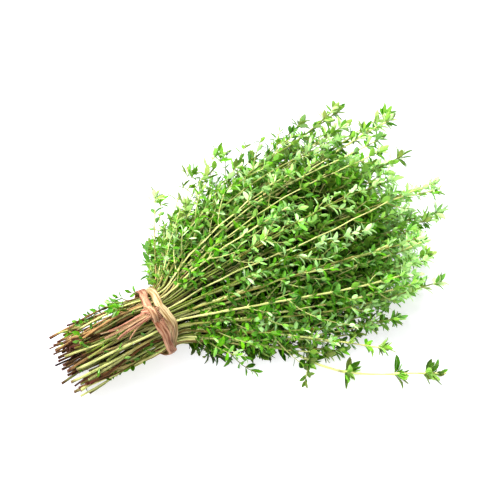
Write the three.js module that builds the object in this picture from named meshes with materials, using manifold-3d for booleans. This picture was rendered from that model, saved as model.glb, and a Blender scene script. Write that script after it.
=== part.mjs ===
// A bunch of fresh thyme that lies on its side, held by a knotted strip of bast.
//
// Millimetres. While the bunch is built, X runs along it from the cut ends to the leafy tips and is 0 at the
// tie, Y runs across it, and Z is up and is 0 at the middle of the tie. At the end the whole bunch is moved
// so that its origin is the middle of its box, on the surface that it lies on.
//
// Each sprig is one node: a square stem, as thyme has, with leaves raised from its four sides.

import * as THREE from 'three';
import { mergeVertices } from 'three/addons/utils/BufferGeometryUtils.js';
import Module from 'manifold-3d';

const { Vector3 } = THREE;

// ---- The tie ----
const TIE_RADIUS = 15.2; // outside, all round but underneath
const BAST_WIDTH = 3.6;
const BAST_THICKNESS = 1.0;
const PRESSED_FLAT = 0.4; // how much the tie is flattened where the bunch lies on it
const SURFACE = PRESSED_FLAT - TIE_RADIUS; // height of the surface that the bunch lies on

// ---- The sprigs' places ----
const SPRIG_COUNT = 42;
const TRAILING_SPRIG = 41; // the one that has slipped out and lies along the surface
const SEAT_RADIUS = 11.9; // outermost stem centres inside the tie
const STEM_LIFT = SEAT_RADIUS * -1 - SURFACE; // lowest stem centres above the surface
const BUTT_LENGTH = 49; // the longest cut ends, behind the tie
const BUTT_UNEVEN = 13; // how much shorter the shortest of them is
const HEAD_LENGTH = 135; // the furthest tips, ahead of the tie
const HEAD_UNEVEN = 0.24; // the part of that by which sprigs are shorter
const SHORT_SPRIGS = [0, 10, 22, 32, 35, 38]; // at the far end, where the mass ends sooner
const SHORT_LENGTH = 0.93; // by what chance alone would give them
const FAN_START = 3; // where the stems begin to part, ahead of the tie's middle
const FAR_SIDE = { spread: 50, rise: 32, shorter: 14 }; // how much the fan widens there, over what length,
const NEAR_SIDE = { spread: 58, rise: 70, shorter: 44 }; // and how much sooner it ends at that edge
const HEIGHT = { spread: 11, rise: 38 };
const SINK_RISE = 40; // the length over which the fan's sides sink to the surface
const WANDER = 1.3; // how far a stem bends to and fro

// ---- A sprig ----
const BUTT_HALF_SIDE = 0.95; // half of the square stem's side at the cut end
const TIP_HALF_SIDE = 0.42;
const LEAF_LENGTH = 7;
const LEAF_WIDTH = 3.2;
const LEAF_THICKNESS = 0.75;
const WIDEST = 0.45; // where a leaf is widest, as a part of its length
const ROOT_LENGTH = 1.1; // how much of the stem a leaf grows from
const BARE_AHEAD_OF_TIE = 9;
const LEAF_GAP = 0.9; // twice the way from a leaf to where the next sprig's leaves may begin
const SPREAD_ANGLES = [62, 52, 42, 34, 26]; // between leaf and stem, widest first
const SMALLER_SIZES = [1, 0.8, 0.62]; // tried in turn where a leaf has no room
const LEAST_CROSS_ANGLE = 34; // four leaves round a stem need this much, or they meet
const CROSS_SIZE = 0.72; // the smaller leaves between a pair, by the pair's size
const YOUNG_LENGTH = 20; // leaves nearer the tip than this are not full-grown
const YOUNG_SIZE = 0.62; // those at the tip, by a full-grown leaf's size
const LEAST_PITCH = 3.4; // between pairs of leaves at the tip
const OUTER_PITCH = 8.6; // further down, on the sprigs that show
const INNER_PITCH = 11;
const OUTER_SEAT = 0.68; // seats beyond this part of the radius are outer ones
const INNER_LEAFY = 48; // inner sprigs have leaves only this far from the tip

// Sprigs that stand out of the mass: where the tip is along the bunch, and how far it has left the fan
// there, across and up.
const STRAYS = [
  { sprig: 34, tip: 30, across: 18, up: 12 },
  { sprig: 37, tip: 42, across: 15, up: 10 },
  { sprig: 29, tip: 60, across: 10, up: 11 },
  { sprig: 21, tip: 124, across: 12, up: 8 },
  { sprig: 16, tip: 139, across: 8, up: 1 },
];

// The trailing sprig's way along the surface, from where it leaves the others.
const TRAIL = [
  [22, -15], [33, -21], [40, -30], [43.5, -41], [52, -54], [64, -64], [77, -71.5], [87, -78],
];
const TRAIL_HEIGHT = SURFACE + 1.3;

const GOLDEN_ANGLE = Math.PI * (3 - Math.sqrt(5));
const UP = new Vector3(0, 0, 1);
const radians = (degrees) => (degrees * Math.PI) / 180;
const mix = (a, b, t) => a + (b - a) * t;

// A fixed number from 0 to 1 for each sprig and each use
function chance(sprig, use) {
  const n = Math.sin(sprig * 12.9898 + use * 78.233) * 43758.5453;
  return n - Math.floor(n);
}

// ---- Where the stems run ----

// A stem's place in the tie, on a disc of radius 1: even, as a sunflower's seeds are
function seat(sprig) {
  const r = Math.sqrt((sprig + 0.5) / SPRIG_COUNT);
  const turn = sprig * GOLDEN_ANGLE;
  return { r, p: r * Math.cos(turn), q: r * Math.sin(turn) };
}

const fanSide = (p) => (p > 0 ? FAR_SIDE : NEAR_SIDE);
const opened = (x, rise) => 1 - Math.exp(-Math.max(x - FAN_START, 0) / rise);

// The point at distance x along the bunch of the stem whose seat is p, q. The round section at the tie opens
// into a fan that is flat underneath, where its sides have sunk to the surface.
function inFan(p, q, x) {
  const halfWidth = SEAT_RADIUS + fanSide(p).spread * opened(x, fanSide(p).rise);
  const halfHeight = SEAT_RADIUS + HEIGHT.spread * opened(x, HEIGHT.rise);
  const sunk = halfHeight * (1 - Math.sqrt(1 - p * p)) * opened(x, SINK_RISE);
  return new Vector3(x, halfWidth * p, SURFACE + STEM_LIFT + halfHeight * (1 + q) - sunk);
}

function tipDistance(sprig) {
  const stray = STRAYS.find((s) => s.sprig === sprig);
  if (stray) return stray.tip;
  const { p } = seat(sprig);
  const shorter = fanSide(p).shorter * Math.abs(p) ** 1.6;
  const length = (HEAD_LENGTH - shorter) * (1 - HEAD_UNEVEN * chance(sprig, 1));
  return SHORT_SPRIGS.includes(sprig) ? SHORT_LENGTH * length : length;
}

const buttDistance = (sprig) => BUTT_LENGTH - BUTT_UNEVEN * chance(sprig, 2);

function stemPoint(sprig, x) {
  const { p, q } = seat(sprig);
  const point = inFan(p, q, x);
  const bend = WANDER * opened(x, SINK_RISE);
  point.y += bend * Math.sin(x / 15 + 6.3 * chance(sprig, 3));
  point.z += 0.5 * bend * (1 + Math.sin(x / 17 + 6.3 * chance(sprig, 4)));
  const stray = STRAYS.find((s) => s.sprig === sprig);
  if (stray) {
    const gone = (Math.max(x - FAN_START, 0) / stray.tip) ** 1.5;
    point.y += stray.across * gone;
    point.z += stray.up * gone;
  }
  return point;
}

function centreLine(sprig) {
  const points = [];
  const trails = sprig === TRAILING_SPRIG;
  const end = trails ? 10 : tipDistance(sprig);
  const start = -buttDistance(sprig);
  const steps = Math.ceil((end - start) / 6);
  for (let k = 0; k <= steps; k++) points.push(stemPoint(sprig, mix(start, end, k / steps)));
  if (trails) for (const [x, y] of TRAIL) points.push(new Vector3(x, y, TRAIL_HEIGHT));
  const line = new THREE.CatmullRomCurve3(points);
  line.arcLengthDivisions = 600;
  return line;
}

// ---- Room for the leaves ----

const sprigs = [];
for (let i = 0; i < SPRIG_COUNT; i++) {
  const line = centreLine(i);
  sprigs.push({ line, length: line.getLength(), marks: line.getSpacedPoints(140) });
}

function distanceToStem(point, sprig) {
  let nearest = Infinity;
  for (const mark of sprigs[sprig].marks) nearest = Math.min(nearest, mark.distanceToSquared(point));
  return Math.sqrt(nearest);
}

// A leaf stays where its own stem is the nearest, so no leaf meets another sprig's.
function hasRoom(points, sprig) {
  return points.every((point) => {
    if (point.z < SURFACE + 0.1) return false;
    const own = distanceToStem(point, sprig);
    return sprigs.every((_, other) => other === sprig || distanceToStem(point, other) > own + LEAF_GAP);
  });
}

// ---- A sprig's mesh ----

// The square section at distance d from the cut end. Corners are numbered so that side k lies between
// corners k and k + 1 and faces the way outward(k) says.
function section(sprig, d) {
  const { line, length } = sprigs[sprig];
  const t = line.getTangentAt(d / length);
  const roll = sprig === TRAILING_SPRIG ? 0 : chance(sprig, 5) * Math.PI;
  const across = new Vector3().crossVectors(UP, t).normalize();
  const u = across.clone().applyAxisAngle(t, roll);
  const v = new Vector3().crossVectors(t, u);
  const half = mix(BUTT_HALF_SIDE, TIP_HALF_SIDE, (d / length) ** 0.8);
  const centre = line.getPointAt(d / length);
  const corner = (a, b) => centre.clone().addScaledVector(u, a * half).addScaledVector(v, b * half);
  return {
    centre,
    along: t,
    corners: [corner(1, 1), corner(-1, 1), corner(-1, -1), corner(1, -1)],
    outward: [v, u.clone().negate(), v.clone().negate(), u],
  };
}

// The four points of a leaf that starts on one side of the stem: its two edges and its ridge where it is
// widest, and its tip.
function leafPoints(ring, side, angle, size) {
  const out = ring.outward[side];
  const direction = ring.along.clone().multiplyScalar(Math.cos(radians(angle)));
  direction.addScaledVector(out, Math.sin(radians(angle)));
  const acrossLeaf = ring.corners[side].clone().sub(ring.corners[(side + 1) % 4]).normalize();
  const upperSide = new Vector3().crossVectors(direction, acrossLeaf).normalize();
  if (upperSide.dot(ring.along) < 0) upperSide.negate();
  const root = ring.corners[side].clone().add(ring.corners[(side + 1) % 4]).multiplyScalar(0.5);
  const middle = root.clone().addScaledVector(direction, LEAF_LENGTH * size * WIDEST);
  const halfWidth = 0.5 * LEAF_WIDTH * Math.sqrt(size);
  return {
    left: middle.clone().addScaledVector(acrossLeaf, halfWidth),
    right: middle.clone().addScaledVector(acrossLeaf, -halfWidth),
    ridge: middle.clone().addScaledVector(upperSide, LEAF_THICKNESS),
    tip: root.clone().addScaledVector(direction, LEAF_LENGTH * size),
  };
}

// The widest-spread leaf that has room on this side of the stem, or none
function fittedLeaf(sprig, ring, side, size, leastAngle) {
  for (const share of SMALLER_SIZES) {
    for (const angle of SPREAD_ANGLES.filter((a) => a >= leastAngle)) {
      const points = leafPoints(ring, side, angle, size * share);
      if (hasRoom(Object.values(points), sprig)) return { points, angle };
    }
  }
  return null;
}

// A pair of leaves on opposite sides, and the smaller ones between them where there is room for those
function leavesAt(sprig, ring, pair, size, crossed) {
  const leaves = [];
  for (const side of [pair, pair + 2]) leaves[side] = fittedLeaf(sprig, ring, side, size, 0);
  const open = leaves.every((leaf) => !leaf || leaf.angle >= LEAST_CROSS_ANGLE);
  if (!crossed || !open) return leaves;
  for (const side of [1 - pair, 3 - pair]) {
    leaves[side] = fittedLeaf(sprig, ring, side, CROSS_SIZE * size, LEAST_CROSS_ANGLE);
  }
  return leaves;
}

// Distances from the cut end at which the sprig bears leaves
function leafNodes(sprig) {
  const { length } = sprigs[sprig];
  const outer = seat(sprig).r > OUTER_SEAT;
  const butt = buttDistance(sprig);
  const first = outer ? butt + BARE_AHEAD_OF_TIE : Math.max(butt + BARE_AHEAD_OF_TIE, length - INNER_LEAFY);
  const nodes = [];
  let pitch = LEAST_PITCH;
  for (let d = length - 2.4; d > first; d -= pitch) {
    nodes.unshift(d);
    pitch = Math.min(pitch * 1.4, (outer ? OUTER_PITCH : INNER_PITCH) * mix(0.9, 1.1, chance(sprig, 6)));
  }
  if (outer && chance(sprig, 7) > 0.45) nodes.unshift(mix(6, butt - 14, chance(sprig, 8)));
  return nodes;
}

function meshOf(points, triangles) {
  const geometry = new THREE.BufferGeometry();
  geometry.setAttribute('position', new THREE.Float32BufferAttribute(points.flatMap((p) => p.toArray()), 3));
  geometry.setIndex(triangles.flat());
  return geometry;
}

function sprigGeometry(sprig) {
  const { length } = sprigs[sprig];
  const points = [];
  const triangles = [];
  const add = (p) => points.push(p) - 1;

  function addRing(d) {
    const ring = section(sprig, d);
    ring.index = ring.corners.map(add);
    return ring;
  }

  function plainSide(below, above, k) {
    const n = (k + 1) % 4;
    triangles.push([below.index[k], below.index[n], above.index[n]]);
    triangles.push([below.index[k], above.index[n], above.index[k]]);
  }

  // The leaf takes the place of the stem's side between two rings.
  function leafSide(below, above, k, leaf) {
    const n = (k + 1) % 4;
    const [a, b, c, d] = [below.index[k], below.index[n], above.index[n], above.index[k]];
    const { points: p } = leaf;
    const [left, right, ridge, tip] = [p.left, p.right, p.ridge, p.tip].map(add);
    triangles.push([a, b, right], [a, right, left], [b, c, right], [c, ridge, right]);
    triangles.push([c, d, ridge], [d, left, ridge], [d, a, left]);
    triangles.push([left, right, tip], [right, ridge, tip], [ridge, left, tip]);
  }

  function join(below, above, leaves = []) {
    for (let k = 0; k < 4; k++) {
      if (leaves[k]) leafSide(below, above, k, leaves[k]);
      else plainSide(below, above, k);
    }
  }

  let last = addRing(0);
  triangles.push([last.index[3], last.index[2], last.index[1]], [last.index[3], last.index[1], last.index[0]]);
  const bends = [buttDistance(sprig) - 6, buttDistance(sprig) + 6];
  const nodes = leafNodes(sprig);
  const stops = [...bends.map((d) => ({ d })), ...nodes.map((d, n) => ({ d, n, leafy: true }))];
  stops.sort((a, b) => a.d - b.d);

  for (const { d, n, leafy } of stops) {
    const below = addRing(d);
    join(last, below);
    last = below;
    if (!leafy) continue;
    const above = addRing(d + ROOT_LENGTH);
    const grown = Math.min(1, (length - d) / YOUNG_LENGTH);
    const size = mix(YOUNG_SIZE, 1, grown) * mix(0.88, 1.12, chance(sprig, 20 + n));
    join(below, above, leavesAt(sprig, below, n % 2, size, grown > 0.3));
    last = above;
  }

  const bud = add(sprigs[sprig].line.getPointAt(1).addScaledVector(last.along, 0.6));
  for (let k = 0; k < 4; k++) triangles.push([last.index[k], last.index[(k + 1) % 4], bud]);
  return meshOf(points, triangles);
}

// ---- The tie: one strip of bast, wrapped round twice, crossed and knotted on top ----

// A value given at some clock angles round the tie, in degrees, and eased between them
function eased(keys, clock) {
  const c = ((clock % 360) + 360) % 360;
  let k = keys.findIndex(([at]) => at > c);
  if (k < 0) k = keys.length;
  const [from, a] = k > 0 ? keys[k - 1] : [keys.at(-1)[0] - 360, keys.at(-1)[1]];
  const [to, b] = k < keys.length ? keys[k] : [keys[0][0] + 360, keys[0][1]];
  return mix(a, b, THREE.MathUtils.smoothstep(c, from, to));
}

// Clock angle 0 is the far side, 90 is on top, 180 the near side and 270 underneath.
function onTie(x, clock, radius) {
  const flat = SURFACE + TIE_RADIUS - radius;
  const y = radius * Math.cos(radians(clock));
  return new Vector3(x, y, Math.max(radius * Math.sin(radians(clock)), flat));
}

const KNOT_CLOCK = 115;
const KNOT_ALONG = -8.5;
const RAISED = 0.7; // how much higher the upper wrap lies where the two cross

const LOWER_WRAP = [[40, -1.2], [79, -2.2], [105, -3.4], [147, -1.6], [180, -3.6], [270, -0.6]];
const UPPER_WRAP = [[10, -3.4], [40, -4.6], [KNOT_CLOCK, KNOT_ALONG], [165, -6.4], [213, -3.2], [270, -3.4]];
const UPPER_LIFT = [[20, 0], [75, 0.4], [KNOT_CLOCK, 1], [160, 1], [215, 0.6], [245, 0]];

function wrap(along, lift) {
  const points = [];
  const triangles = [];
  const stations = 28;
  for (let s = 0; s < stations; s++) {
    const clock = (360 * s) / stations;
    const x = eased(along, clock);
    const outside = TIE_RADIUS + RAISED * eased(lift, clock);
    const inside = outside - BAST_THICKNESS;
    points.push(onTie(x - BAST_WIDTH / 2, clock, inside), onTie(x + BAST_WIDTH / 2, clock, inside));
    points.push(onTie(x + BAST_WIDTH / 2, clock, outside), onTie(x - BAST_WIDTH / 2, clock, outside));
    for (let k = 0; k < 4; k++) {
      const [a, b] = [4 * s + k, 4 * s + ((k + 1) % 4)];
      const [c, d] = [b, a].map((i) => (i + 4) % (4 * stations));
      triangles.push([a, b, c], [a, c, d]);
    }
  }
  return meshOf(points, triangles);
}

function knot() {
  const geometry = new THREE.SphereGeometry(1, 12, 8);
  geometry.scale(5.4, 4.2, 2.2);
  geometry.rotateZ(radians(24));
  geometry.rotateX(radians(KNOT_CLOCK - 90));
  const middle = onTie(KNOT_ALONG, KNOT_CLOCK, TIE_RADIUS + 0.5);
  return geometry.translate(middle.x, middle.y, middle.z);
}

// The strip's loose end lies on the stems and points to the cut ends.
function tail() {
  const points = [];
  const triangles = [];
  const stations = 6;
  for (let s = 0; s <= stations; s++) {
    const done = s / stations;
    const x = mix(KNOT_ALONG, -30.5, done);
    const radius = TIE_RADIUS + 0.6 - 1.1 * Math.sin(Math.PI * 0.5 * done);
    const clock = mix(KNOT_CLOCK - 1, KNOT_CLOCK + 6, done);
    const half = (BAST_WIDTH / 2) * mix(1.1, 0.8, done) * (360 / (2 * Math.PI * TIE_RADIUS));
    points.push(onTie(x, clock + half, radius), onTie(x, clock - half, radius));
    points.push(onTie(x, clock - half, radius + 0.9), onTie(x, clock + half, radius + 0.9));
    if (s === 0) continue;
    for (let k = 0; k < 4; k++) {
      const [c, d] = [4 * s + k, 4 * s + ((k + 1) % 4)];
      triangles.push([c - 4, c, d], [c - 4, d, d - 4]);
    }
  }
  const end = 4 * stations;
  triangles.push([0, 1, 2], [0, 2, 3], [end + 2, end + 1, end], [end + 3, end + 2, end]);
  return meshOf(points, triangles);
}

const wasm = await Module();
wasm.setup();

function toSolid(geometry) {
  geometry.deleteAttribute('normal');
  geometry.deleteAttribute('uv');
  const merged = mergeVertices(geometry, 1e-4);
  const solid = new wasm.Manifold(new wasm.Mesh({
    numProp: 3,
    vertProperties: new Float32Array(merged.attributes.position.array),
    triVerts: new Uint32Array(merged.index.array),
  }));
  if (solid.volume() <= 0) throw new Error(`inside out: ${solid.volume()}`);
  return solid;
}

function toGeometry(solid) {
  const mesh = solid.getMesh();
  const geometry = new THREE.BufferGeometry();
  geometry.setAttribute('position', new THREE.Float32BufferAttribute(mesh.vertProperties, 3));
  geometry.setIndex(new THREE.Uint32BufferAttribute(mesh.triVerts, 1));
  return geometry;
}

function tieGeometry() {
  const lower = toSolid(wrap(LOWER_WRAP, [[0, 0], [180, 0]]));
  const upper = toSolid(wrap(UPPER_WRAP, UPPER_LIFT));
  return toGeometry(lower.add(upper).add(toSolid(knot())).add(toSolid(tail())));
}

// ---- The bunch ----

const leafGreen = new THREE.MeshStandardMaterial({ color: 0x6f9a3f, roughness: 0.6, metalness: 0 });
const bast = new THREE.MeshStandardMaterial({ color: 0xa3916a, roughness: 0.8, metalness: 0 });

function named(name, geometry, material) {
  const mesh = new THREE.Mesh(geometry, material);
  mesh.name = name;
  return mesh;
}

const bunch = new THREE.Group();
for (let i = 0; i < SPRIG_COUNT; i++) {
  const number = String(i + 1).padStart(2, '0');
  const name = i === TRAILING_SPRIG ? 'trailing_sprig' : `sprig_${number}`;
  bunch.add(named(name, sprigGeometry(i), leafGreen));
}
bunch.add(named('bast_tie', tieGeometry(), bast));

const box = new THREE.Box3().setFromObject(bunch, true);
const middle = box.getCenter(new Vector3());
bunch.position.set(-middle.x, -middle.y, -box.min.z);

export default bunch;
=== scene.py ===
"""The looks of the thyme bundle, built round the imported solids.

Every solid sprig is replaced by a fine one on the same centre line: a squarish stem, leaves in crossed
pairs, tufts of small leaves in their axils and short side shoots. More sprigs fill the room between them,
and the tie becomes creased strips of bast. Lengths are in millimetres, and the layout is worked out in the
tie's own frame, where X runs along the bunch from the cut ends to the tips, Z is up, and 0 is the middle
of the tie.
"""

import math
from collections import namedtuple

import bpy
import numpy as np
from mathutils import Matrix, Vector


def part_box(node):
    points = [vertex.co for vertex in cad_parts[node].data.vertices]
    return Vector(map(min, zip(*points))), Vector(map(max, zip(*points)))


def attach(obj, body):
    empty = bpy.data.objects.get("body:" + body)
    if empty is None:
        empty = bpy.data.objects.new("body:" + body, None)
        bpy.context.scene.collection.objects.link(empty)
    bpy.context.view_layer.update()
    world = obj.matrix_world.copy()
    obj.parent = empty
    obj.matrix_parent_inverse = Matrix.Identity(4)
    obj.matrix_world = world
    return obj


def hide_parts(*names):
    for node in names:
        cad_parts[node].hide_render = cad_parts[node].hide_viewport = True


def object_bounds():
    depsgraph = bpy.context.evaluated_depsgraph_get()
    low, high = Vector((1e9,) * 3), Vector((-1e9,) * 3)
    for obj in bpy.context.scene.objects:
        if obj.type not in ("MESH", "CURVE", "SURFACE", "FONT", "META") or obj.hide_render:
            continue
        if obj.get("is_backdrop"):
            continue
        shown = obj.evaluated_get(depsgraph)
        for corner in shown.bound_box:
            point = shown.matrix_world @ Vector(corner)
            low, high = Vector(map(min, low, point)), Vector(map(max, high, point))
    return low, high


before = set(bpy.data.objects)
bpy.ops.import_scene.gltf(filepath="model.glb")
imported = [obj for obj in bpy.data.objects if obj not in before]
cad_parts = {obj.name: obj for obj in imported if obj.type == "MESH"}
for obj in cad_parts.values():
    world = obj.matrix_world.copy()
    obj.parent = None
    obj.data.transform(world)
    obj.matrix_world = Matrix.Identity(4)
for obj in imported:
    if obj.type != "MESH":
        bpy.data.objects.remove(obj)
CAD_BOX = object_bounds()

MM = 0.001
UP = np.array([0.0, 0.0, 1.0])
GOLDEN_ANGLE = math.pi * (3 - math.sqrt(5))
WHOLE_TURN = 6.3  # near enough for waves that start anywhere

# ---- The tie's frame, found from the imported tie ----
TIE_RADIUS = 15.2
SURFACE = -14.8  # the height of what the bunch lies on
TAIL_END = -30.5  # the tie's lowest x, at the end of its tail
_low, _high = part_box("bast_tie")
TIE = np.array([_low.x / MM - TAIL_END, _high.y / MM - TIE_RADIUS, _low.z / MM - SURFACE])

# ---- The sprigs' layout, as the solids have it ----
SPRIG_COUNT = 42
TRAILING_SPRIG = 41
SEAT_RADIUS = 11.9
STEM_LIFT = -SEAT_RADIUS - SURFACE
BUTT_LENGTH = 49
BUTT_UNEVEN = 13
HEAD_LENGTH = 135
HEAD_UNEVEN = 0.24
SHORT_SPRIGS = [0, 10, 22, 32, 35, 38]
SHORT_LENGTH = 0.93
FAN_START = 3
FAR_SIDE = {"spread": 50, "rise": 32, "shorter": 14}
NEAR_SIDE = {"spread": 58, "rise": 70, "shorter": 44}
EDGE_CURVE = 1.6
HEIGHT = {"spread": 11, "rise": 38}
SINK_RISE = 40
WANDER = 1.3
STRAY_CURVE = 1.5
STRAYS = {
    34: {"tip": 30, "across": 18, "up": 12},
    37: {"tip": 42, "across": 15, "up": 10},
    29: {"tip": 60, "across": 10, "up": 11},
    21: {"tip": 124, "across": 12, "up": 8},
    16: {"tip": 139, "across": 8, "up": 1},
}
PATH_STEP = 6  # between the points that a stem's curve runs through
TRAIL_START = 10  # where the trailing sprig leaves the fan
TRAIL = [(22, -15), (33, -21), (40, -30), (43.5, -41), (52, -54), (64, -64), (77, -71.5), (87, -78)]
TRAIL_HEIGHT = SURFACE + 1.3
TRAIL_LIT = 0.78  # its leaves are lit as if their openness were at most this
TRAIL_STOUTNESS = 1.6
LEAST_PITCH = 3.4
STANDING_PITCH = 5.4  # the least on sprigs that stand out of the bunch
OUTER_PITCH = 8.6
LUSH_END = 1.3  # how much larger the last leaves are on them
STANDING_OUT = 32  # they have few side shoots nearer their ends than this

# Of the sprigs that stand out, loose ones end before this x and beyond this y. They have no side shoots,
# fewer leaves and thinner stems.
LOOSE_BEFORE = 65
LOOSE_BEYOND = 38
LOOSE_STEM = 0.6

# ---- Sprigs that only the fine model has ----
FILLER_COUNT = 44
OUTERMOST = 1.0  # their outermost seat, by the solids' outermost
SEAT_ROUNDS = 80
SEAT_GAP = 0.06
SEAT_PUSH = 0.04
FILLER_BUTT = 46
FILLER_UNEVEN = 14  # how much shorter the shortest of their cut ends is
FILLER_LENGTHS = (0.42, 0.92)  # their tips, by the tip of a full-length sprig in the same seat

# Long ones that lie low in the bunch, from its near side to its far side
LOW_COUNT = 20
LOW_SEAT = {"width": 0.86, "height": -0.62}
LOW_LENGTHS = (0.82, 0.92)
LOW_LEAFY_FROM = 48  # their lower parts are hidden

# More of them, each with its seat (p, q) and its tip (x, y, z)
AIMED = [
    # on the far side, from the tie on
    ((0.98, 0.00), (9.8, 26.0, 0)),
    ((0.98, 0.10), (12.7, 29.2, 0)),
    ((0.97, 0.20), (13.0, 34.5, 3)),
    ((0.93, 0.38), (26.0, 31.0, 16)),
    ((0.99, -0.05), (16.2, 35.7, 2)),
    ((0.95, 0.30), (20.5, 32.7, 6)),
    ((0.92, 0.40), (22.8, 42.8, 23)),
    ((0.90, 0.45), (26.4, 34.0, 11)),
    ((0.80, 0.60), (33.8, 34.7, 17)),
    ((0.85, 0.50), (42.3, 46.5, 23.5)),
    ((0.72, 0.60), (49.1, 44.7, 20)),
    ((0.80, 0.50), (58.0, 51.5, 23.5)),
    ((0.75, 0.55), (62.6, 42.0, 20)),
    ((0.85, 0.35), (74.2, 46.2, 15)),
    ((0.88, 0.10), (83.0, 45.3, 12)),
    ((0.75, 0.30), (102.0, 49.0, 20)),
    ((0.80, 0.05), (93.5, 43.5, 12)),
    ((0.70, 0.20), (102.0, 41.5, 16)),
    ((0.60, 0.50), (117.0, 47.0, 23.5)),
    ((0.60, 0.40), (108.0, 37.0, 20)),
    ((0.55, 0.45), (114.3, 34.2, 24)),
    ((0.45, 0.50), (119.4, 26.4, 25)),
    ((0.30, 0.60), (121.0, 18.5, 26)),
    ((0.40, 0.55), (132.5, 25.8, 25.5)),
    # at the far end
    ((0.20, 0.60), (126.0, 7.0, 20)),
    ((-0.05, 0.45), (130.0, -10.5, 13)),
    ((-0.20, 0.30), (126.2, -20.3, 9)),
    ((-0.35, 0.50), (118.6, -22.2, 10)),
    ((-0.60, 0.20), (107.8, -34.4, 6)),
    ((-0.80, 0.30), (105.7, -48.0, 2)),
    # on the near side, back to the tie
    ((-0.95, -0.10), (83.7, -49.3, -6)),
    ((-0.80, -0.10), (69.4, -58.0, -6)),
    ((-0.90, -0.30), (65.3, -43.2, -9)),
    ((-0.90, -0.60), (56.7, -46.3, -12)),
    ((-0.95, -0.50), (51.2, -44.0, -12)),
    ((-0.90, -0.50), (38.3, -30.8, -12.5)),
    ((-0.90, -0.70), (29.5, -29.0, -12)),
    ((-0.85, -0.60), (22.7, -19.9, -12)),
    ((-0.80, -0.80), (12.8, -17.6, -13)),
]
SPRIGS_A_PIECE = 12
SPRIG_SEED = 1000

# ---- A stem ----
STEM_SIDES = 8
STEM_SQUARE = 0.12  # how much the corners stand out of a round stem, as a part of its radius
BUTT_RADIUS = 0.53
TIP_RADIUS = 0.28
THINNING = 0.55  # less than 1 makes a stem thin quickly at first
STOUTNESS = (0.72, 1.12)  # from the thinnest stem to the thickest
RING_STEP = 3.2
KNEE = 0.38  # how much thicker a stem is where it bears leaves
KINK = 0.24  # how far a stem steps aside there
BUTT_FROM = 4  # behind the tie
BUTT_FLARE = 0.04  # how much wider the bunch gets from there to the cut ends
BUTT_CURVE = 1.3
BUTT_SAG = 1.6  # how much lower the cut ends are
BUTT_LEAST_HEIGHT = 1.2  # above the surface
BUTT_WOBBLE = 1.8
WOBBLE_RISE = 12
WOBBLE_LENGTHS = (9, 20)
STEM_PLACE = 0.7  # by the stem's radius, how far from its centre leaves start
SHOOT_SIDES = 5
SHOOT_RADII = (0.28, 0.15)
STEM_LIT = 0.85  # stems that are less far out in the bunch are shaded
BUTT_DEPTH = 1.7  # how quickly they get darker inwards in the butt
STEM_AGES = [0.0, 0.35, 0.7, 1.0]  # from green to woody
OLDER_SHARES = [0.06, 0.1, 0.24, 0.6]  # of these ages, in the far and lower part of the bunch
YOUNGER_SHARES = [0.38, 0.24, 0.2, 0.18]  # and in the rest
OLDER_FROM = -0.25  # the least p - 0.3 q of a seat in that far and lower part
PALE_SHARE = {"upper": 0.65, "lower": 0.58}
PALE_STEM = (0.75, 1.0)  # how bright the pale ones are,
DARK_STEM = (0.0, 0.3)  # and the others
WOODY_FROM = -46  # where the stems that are woody at all begin to get greener

# Sprigs with a seat above this and before this show their stems
CLEAR_STEMS = 0.3
CLEAR_BEFORE = 0.6
CLEAR_SHARE = 0.6  # of the leaves on top are missing,
CLEAR_FROM_TIP = 25  # except near the tip

# ---- Leaves ----
LEAF_LENGTH = 6.3
LEAF_WIDTH = 2.4
BLADE_THICKNESS = 0.28
FINE_LEAF = 0.72  # the least size of a leaf that gets the finer form
MOST_OPEN = 1.2
LOOSENS_FROM = 0.6  # from this part of the bunch's length on, its inside is more open,
LIT_FROM = 0.45  # and gets more light,
OPEN_FROM = 0.9  # and here it is as open as can be
UNDERSIDE = 0.6  # how much less open the underside is
SHADED = 0.72  # leaves whose openness is less are inside the bunch: plainer, and larger
SHADE_LEAF = 1.32  # by this much
LIGHTWARD = 0.8  # how much the leaves turn their upper sides up
LEAF_SWING = 0.2  # how far they swing to a side, in radians,
LEAF_BENDS = 0.35  # and how much their bends differ
LEAF_FOLD = (-0.12, 0.4)
LEAF_SLIM = (0.86, 1.14)
LEAF_SIZES = (0.7, 0.98)
LEAF_ANGLES = (38, 64)  # from the stem, in degrees: at its tip, and on the rest of it
ANGLES_DIFFER = 9
TUFT_SIZES = (0.42, 0.72)  # by the size of the leaf they are with
TUFT_ANGLES = (20, 62)
CROWN_LEAVES = 7
CROWN_SIZES = (0.6, 0.88)
YOUNGEST = {"size": 0.8, "until": 20}  # at a tip, and how far from it the leaves are full-grown
TIE_LEAVES = {"size": 0.62, "share": 0.6}  # next to the tie, where some are missing
NODE_FROM_TIP = 2.6
PITCH_GROWTH = 1.3  # from the tip down, the leaves' places are further and further apart
STANDING_LIT = 1.08  # on sprigs that stand out, leaves are lit as if their openness were at most this
FAR_LEAFY = 0.3  # the seats beyond this have leaves from close to the tie on,
LOW_LEAFY = {"p": -0.3, "q": -0.4}  # and so have those below and before this
LEAFY_FROM = {"far": 4.0, "near": 7.0}  # ahead of the tie
FULL_GROWN_AFTER = {"far": 14.0, "near": 45.0}  # leaves closer to the tie are smaller and fewer
BURIED_SEAT = 0.55  # seats nearer the middle than this are buried, with fewer leaves and side shoots,
BURIED_FROM_TIP = 55  # except near their tips

# How fresh, bright and dry a leaf is: how much leaves differ, and what is added in some places
LEAF_VARIETY = [0.24, 0.24, 0.12]
STANDING_VARIED = 1.8  # times that on sprigs that stand out
YOUNG_TINT = np.array([0.25, 0.3, 0.0])  # at a sprig's end
STANDING_TINT = np.array([0.1, -0.28, 0.45])  # at the end of one that stands out
YOUNG_LENGTH = 42  # how far from the end these two reach
TIE_TINT = np.array([0.0, -0.3, 0.0])  # near the tie

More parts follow.
